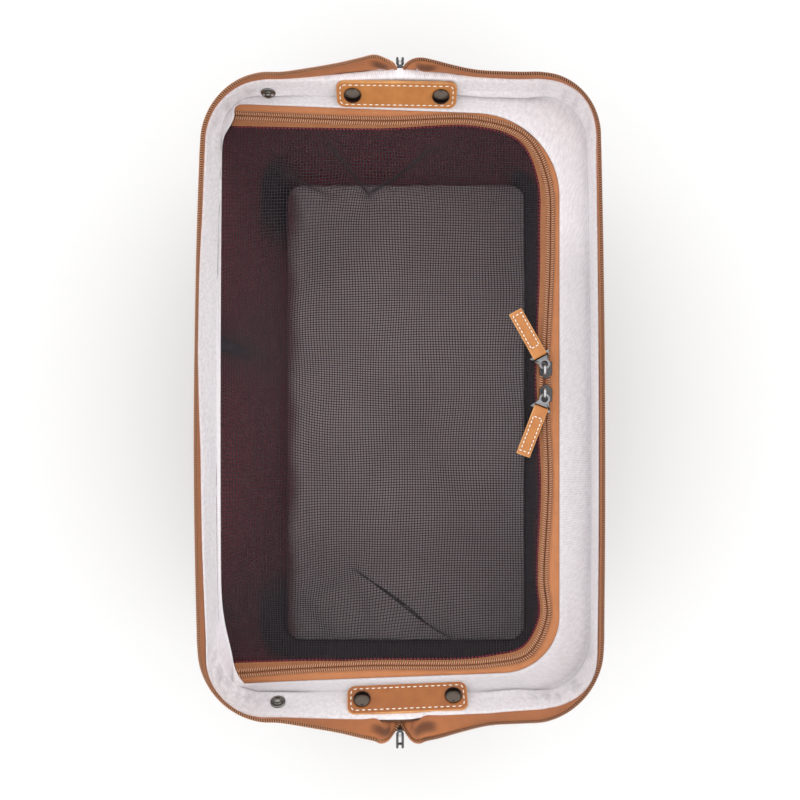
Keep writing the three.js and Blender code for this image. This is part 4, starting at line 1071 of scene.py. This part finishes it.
def rim_edges(side):
    """Knots of one half of the rim from the head slider to the foot slider: teeth and sewn edge."""
    shares = np.linspace(0, 1, 97)
    teeth, sewn = plan_points(shares, RIM_TEETH), plan_points(shares, RIM_SEAM)
    keep = [i for i in range(len(shares)) if side * teeth[i, 0] > RIM_BODY_START]
    keep.sort(key=lambda i: math.atan2(side * teeth[i, 0], teeth[i, 1]))
    knots = [((*teeth[i], RIM_TAPE_HEIGHT), (*sewn[i], RIM_SEAM_HEIGHT)) for i in keep]
    for end, name in ((1, "head"), (-1, "foot")):
        width, reach, shoulder = EARS[side, end]
        ear = []
        for across, out, rise, hang, sewn_across, sewn_out, sewn_rise in EAR_ROWS:
            start, wide = (RIM_SEAM[name], 1) if hang else (RIM_TEETH[name], width)
            if not hang:
                out = out * reach + shoulder * ramp(across, 26, 60)
            if end > 0:
                out += np.interp(across, *HEAD_TEETH_OUT)
                sewn_out += np.interp(across, *HEAD_SEWN_OUT)
                sewn_rise -= np.interp(across, *HEAD_SEWN_DROP)
            elif hang:
                across += 2.4 if rise > -12 else -0.6
                out += np.interp(rise, *FOOT_TEETH_OUT)
                sewn_out -= 1.7
            else:
                sewn_out *= 0.35
            tooth = (side * across * wide, start + end * out, RIM_TAPE_HEIGHT + rise)
            sewn_place = (side * sewn_across * wide, RIM_SEAM[name] + end * sewn_out)
            ear.append((tooth, (*sewn_place, RIM_TAPE_HEIGHT + sewn_rise)))
        knots = ear[::-1] + knots if end > 0 else knots + ear
    knots_teeth, knots_sewn = np.array(knots).swapaxes(0, 1)
    return knots_teeth, pulled_seam(knots_sewn)


def rim_half(side, spacing):
    """Teeth and sewn edge of one half at even steps, with directions across and off the tape."""
    knots_teeth, knots_sewn = rim_edges(side)
    places = np.linspace(0, len(knots_teeth) - 1, 6000)
    run = run_along(smooth_line(knots_teeth, places))
    even = np.interp(np.arange(0, run[-1], spacing), run, places)
    teeth, sewn = smooth_line(knots_teeth, even), smooth_line(knots_sewn, even)
    across = unit(teeth - sewn)
    return teeth, sewn, across, unit(np.cross(np.gradient(teeth, axis=0), across))


rim_tape = tape_material("tan rim tape", (0.58, 0.21, 0.075), (0.45, 0.155, 0.053))
# Painted shade: the tape is darkened to near-black brown in the hollows under the curls of the ears
tint_where(rim_tape, "painted_hollow_shade", (0.1, 0.032, 0.014))
for name, side, ear_middle in (("left", -1, 13), ("right", 1, 18)):
    teeth, sewn, _, face = rim_half(side, RIM_TAPE_STEP)
    from_middle, height = np.abs(teeth[:, 0]), teeth[:, 2]
    ends = ramp(from_middle, 30, 10)
    ends = ends * ends * (3 - 2 * ends)
    hollow = bell(from_middle, ear_middle, 8) * (height > 268)
    rows, painted_hollow_shade = [], []
    for share in np.linspace(0, 1, 13):
        level = sewn + (teeth - sewn) * share
        swell = (0.5 * ripples(level, 40, 61) + 1.4 * ends + 2.0 * hollow) * np.sin(np.pi * share)
        rows.append(level + face * (side * swell)[:, None])
        # How much painted shade lies in each ear's hollow
        deep = bell(from_middle, ear_middle, 7, 4) * bell(share, 0.66, 0.22, 4)
        painted_hollow_shade.append(0.85 * deep * (height > 262))
    piece = add_piece(f"rim_tape_{name}", sheet_of(np.stack(rows), turned=side < 0), rim_tape)
    mark_points(piece, "painted_hollow_shade", np.concatenate(painted_hollow_shade))
    thicken(piece, RIM_TAPE_THICK, 0)
    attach(piece, "bag")
    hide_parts(f"rim_zip_{name}_tape")


# Coils of the rim zip: one row of nylon loops along the free edge of each half.
# The outermost loops catch the light as a line of fine bright dashes.
RIM_LOOP, RIM_CORD, RIM_COIL_OFFSET = (1.2, 1.15), (1.15, 1.1), 1.3
# Painted light and shade: the two rows are lit and shaded copies of one plastic, the left lighter and the
# right darker
rim_coils = [
    ("left", -1, "rim coil with painted light", (0.74, 0.34, 0.155), (0.47, 0.185, 0.078)),
    ("right", 1, "rim coil with painted shade", (0.56, 0.23, 0.095), (0.33, 0.12, 0.048)),
]
# The cord inside the rim coils is real; its near-black brown is painted shade in the gaps between the loops
shaded_rim_cord = uneven_material("rim filler cord, painted shade", (0.045, 0.016, 0.008), (0.025, 0.009, 0.004), 600.0,
                            Roughness=0.8)
for name, side, title, light, dark in rim_coils:
    plastic = uneven_material(title, light, dark, 900.0, Roughness=0.4)
    teeth, _, across, face = rim_half(side, COIL_PITCH / LOOP_STEPS)
    line = (teeth + across * RIM_COIL_OFFSET, across, face)
    add_coil("rim", name, line, RIM_LOOP, RIM_CORD, plastic, shaded_rim_cord)


# Pulls of the rim's sliders: one dark metal wire bent into a long loop that hangs in the slider's bridge.
# The legs reach out from the bag and then turn down.
BAIL_WIRE, BAIL_DROP, BAIL_HALF_WIDTH, BAIL_INNER_BAR, BAIL_BEND = 0.9, 9.0, 1.9, 1.1, 2.0
BAR_HALF = 1.2


def wire_rings(route, radius, sides):
    """Rings of a closed wire through a route that closes on itself, kept from twisting."""
    way = unit(np.roll(route, -1, axis=0) - np.roll(route, 1, axis=0))
    turns = np.linspace(0, 2 * np.pi, sides, endpoint=False)
    rings, up = [], np.cross(way[0], (0.31, 0.52, 0.8))
    for place, ahead in zip(route, way):
        up = unit(up - ahead * (up @ ahead))
        beside = np.cross(ahead, up)
        rings.append([place + radius * (np.cos(t) * up + np.sin(t) * beside) for t in turns])
    return np.array(rings)


for name, _, _, _, reach, body in RIM_SLIDERS:
    far = BRIDGE_RADIUS + reach
    bend = np.radians(np.linspace(0, 90, 6))[1:]
    leg = [(0.0, BAIL_INNER_BAR + 0.6), (0.0, far - BAIL_BEND)]
    leg += [(BAIL_BEND * (1 - math.cos(t)), far - BAIL_BEND + BAIL_BEND * math.sin(t)) for t in bend]
    leg += [(BAIL_DROP - 0.8, far)]
    route = [(-BAIL_HALF_WIDTH, -drop, out) for drop, out in leg]
    route += [(x, -BAIL_DROP, far) for x in (-BAR_HALF, 0, BAR_HALF)]
    route += [(BAIL_HALF_WIDTH, -drop, out) for drop, out in reversed(leg)]
    route += [(x, 0, BAIL_INNER_BAR) for x in (BAR_HALF, 0, -BAR_HALF)]
    placed = np.array([seats[name] @ (Vector(point) * MM) for point in route])
    piece = add_tubes(f"{name}_wire", [wire_rings(placed, BAIL_WIRE * MM, 10)], gunmetal, closed=True)
    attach(piece, body)
    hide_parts(f"{name}_bail")


# Leather tabs on the end walls: tan plates with rounded corners, sewn round with white thread.
# They slope from the ledge up to the wall and carry the snap caps.
TAB_LENGTH, TAB_WIDTH, TAB_THICK, TAB_CORNER = 84.6, 21.5, 2.4, 5.5
TAB_SEWN_GAP, TAB_SEWN_CORNER, TAB_STITCH = 5.2, 3.2, (4.2, 3.1, 0.95)
# Pressed line inside the edge: steps inwards and their depths
TAB_PRESSED = [(1.2, 0), (0.7, -0.3), (0.7, 0.3)]
# Middle, slope, turn in plan, places of the caps, and the end of the bag
TABS = [
    ("head", (-2.4, 215.3, 255.4), 54, -0.8, (-31, 31.2), 1),
    ("foot", (5.2, -210.2, 255.2), 45, 2.4, (-32, 32.4), -1),
]


def rounded_corners(length, width, radius, steps):
    """Outline of a rectangle with rounded corners."""
    outline = []
    for quarter, (x, y) in enumerate(((1, 1), (-1, 1), (-1, -1), (1, -1))):
        for angle in np.radians(90 * quarter + np.linspace(0, 90, steps)):
            outline.append((x * (length / 2 - radius) + radius * math.cos(angle),
                            y * (width / 2 - radius) + radius * math.sin(angle)))
    return outline


# Painted shade: the foot tab takes a darker copy of the same tan leather
shaded_leather = leather_material("tan leather with painted shade", (0.36, 0.115, 0.022), (0.31, 0.093, 0.017), 0.42)
tab_outline = rounded_corners(TAB_LENGTH, TAB_WIDTH, TAB_CORNER, 7)
tab_loop = rounded_corners(TAB_LENGTH - TAB_SEWN_GAP, TAB_WIDTH - TAB_SEWN_GAP, TAB_SEWN_CORNER, 5)
tab_seats = {}
for name, place, slope, turn, _, side in TABS:
    seat = seat_at(place) @ turn_about("Z", turn) @ turn_about("X", side * slope)
    tab_seats[name] = seat
    tab = bmesh.new()
    plate_on(tab, tab_outline, -TAB_THICK / 2, TAB_THICK / 2, 0.7)
    bmesh.ops.recalc_face_normals(tab, faces=tab.faces)
    lid = max(tab.faces, key=lambda face: face.calc_center_median().z)
    for step, depth in TAB_PRESSED:
        bmesh.ops.inset_region(tab, faces=[lid], thickness=step * MM, depth=depth * MM, use_even_offset=True)
    for face in tab.faces:
        face.material_index = int(face.normal.z < 0.75)
    tan = leather if side > 0 else shaded_leather
    piece = add_piece(f"{name}_tab_leather", tab, tan, cut_edge, seat=seat, sharp=15)
    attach(piece, "bag")
    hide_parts(f"{name}_tab")
    piece = sew_round(f"{name}_tab_stitches", seat, tab_loop, TAB_THICK / 2 - 0.05, *TAB_STITCH)
    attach(piece, "bag")


# Snap caps on the tabs: pressed metal domes with a rolled edge, in glossy black-brown enamel.
# Each is riveted through its tab.
CAP_PROFILE = [
    (0, 0), (5.6, 0), (6.1, 0.25), (6.25, 0.7), (6.15, 1.2), (5.8, 1.7), (5.2, 2.15), (4.3, 2.62),
    (3.2, 3.02), (2.1, 3.28), (1.05, 3.44), (0, 3.5),
]


def turned_mesh(profile, steps):
    """Solid of revolution about Z from a profile of radius and height in millimetres."""
    bm = bmesh.new()
    chain, edges = chain_on(bm, [(radius, 0, height) for radius, height in profile])
    bmesh.ops.spin(bm, geom=chain + edges, axis=(0, 0, 1), angle=2 * math.pi, steps=steps, cent=(0, 0, 0),
                   use_merge=True)
    bmesh.ops.remove_doubles(bm, verts=bm.verts, dist=1e-6)
    bmesh.ops.recalc_face_normals(bm, faces=bm.faces)
    return bm


enamel = metal_material("black-brown enamel", (0.052, 0.038, 0.028), (0.088, 0.066, 0.05), 0.16,
                        Coat_Weight=0.6, Coat_Roughness=0.06)
for name, _, _, _, caps, _ in TABS:
    for along, side in zip(caps, ("left", "right")):
        seat = tab_seats[name] @ Matrix.Translation((along * MM, 0, (TAB_THICK / 2 + 0.1) * MM))
        piece = add_piece(f"{name}_{side}_cap_dome", turned_mesh(CAP_PROFILE, 40), enamel, seat=seat)
        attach(piece, "bag")
        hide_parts(f"{name}_{side}_cap")


# Snap studs at the left of the end walls: a dished ring with a headed post in the middle.
# They are riveted through the white cloth.
STUD_PROFILE = [
    (0, 0), (5.1, 0), (5.35, 0.25), (5.3, 0.7), (4.9, 1.0), (4.3, 1.1), (3.4, 0.75), (2.5, 0.8), (2.2, 1.1),
    (2.15, 1.9), (2.5, 2.4), (2.65, 2.8), (2.4, 3.2), (1.7, 3.55), (0.8, 3.72), (0, 3.75),
]
# Place of the foot of each stud, and its slope
STUDS = [("head_stud", (-93.4, 217.85, 251.2), 72), ("foot_stud", (-86.2, -213.1, 254.4), -56)]
stud_metal = metal_material("worn dark nickel", (0.13, 0.125, 0.115), (0.3, 0.29, 0.27), 0.3)
for name, place, slope in STUDS:
    seat = seat_at(place) @ turn_about("X", slope)
    piece = add_piece(f"{name}_metal", turned_mesh(STUD_PROFILE, 32), stud_metal, seat=seat)
    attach(piece, "bag")
    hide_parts(name)


# Studio: a plain pale floor and soft light from all sides.
# The camera looks straight down from 0.96 m, as the photograph does.
FLOOR_HALF, FLOOR_GAP, CAMERA_HEIGHT = 4, 0.4, 960
floor_bm = bmesh.new()
bmesh.ops.create_grid(floor_bm, x_segments=1, y_segments=1, size=FLOOR_HALF)
pale = uneven_material("pale floor", (0.745, 0.745, 0.745), (0.735, 0.735, 0.735), 3.0, Roughness=0.9)
floor = add_piece("floor", floor_bm, pale, seat=Matrix.Translation((0, 0, -FLOOR_GAP * MM)))

scene = bpy.context.scene
scene.view_settings.view_transform = "Standard"
world = bpy.data.worlds.new("soft light from all sides")
world.use_nodes = True
sky = world.node_tree
way = add_node(sky, "TexCoord", output="Generated")
height = add_node(sky, "SeparateXYZ", {0: way}, "Z")
# Dimmer near the floor, bright all round above, and dark straight overhead, where the camera hangs
rising = add_node(sky, "MapRange", {0: height, 1: 0.0, 2: 0.5, 3: 0.95, 4: 1.68})
strength = add_node(sky, "MapRange", {0: height, 1: 0.955, 2: 0.985, 3: rising, 4: 0.35},
                    interpolation_type="SMOOTHSTEP")
set_inputs(sky.nodes["Background"], {"Strength": strength, "Color": (1, 1, 1, 1)})
scene.world = world
camera = bpy.data.cameras.new("camera")
camera.sensor_width = 36
camera.lens = 45
camera_object = bpy.data.objects.new("camera", camera)
camera_object.location = Vector(to_frame((0, 0, CAMERA_HEIGHT)))
scene.collection.objects.link(camera_object)
scene.camera = camera_object
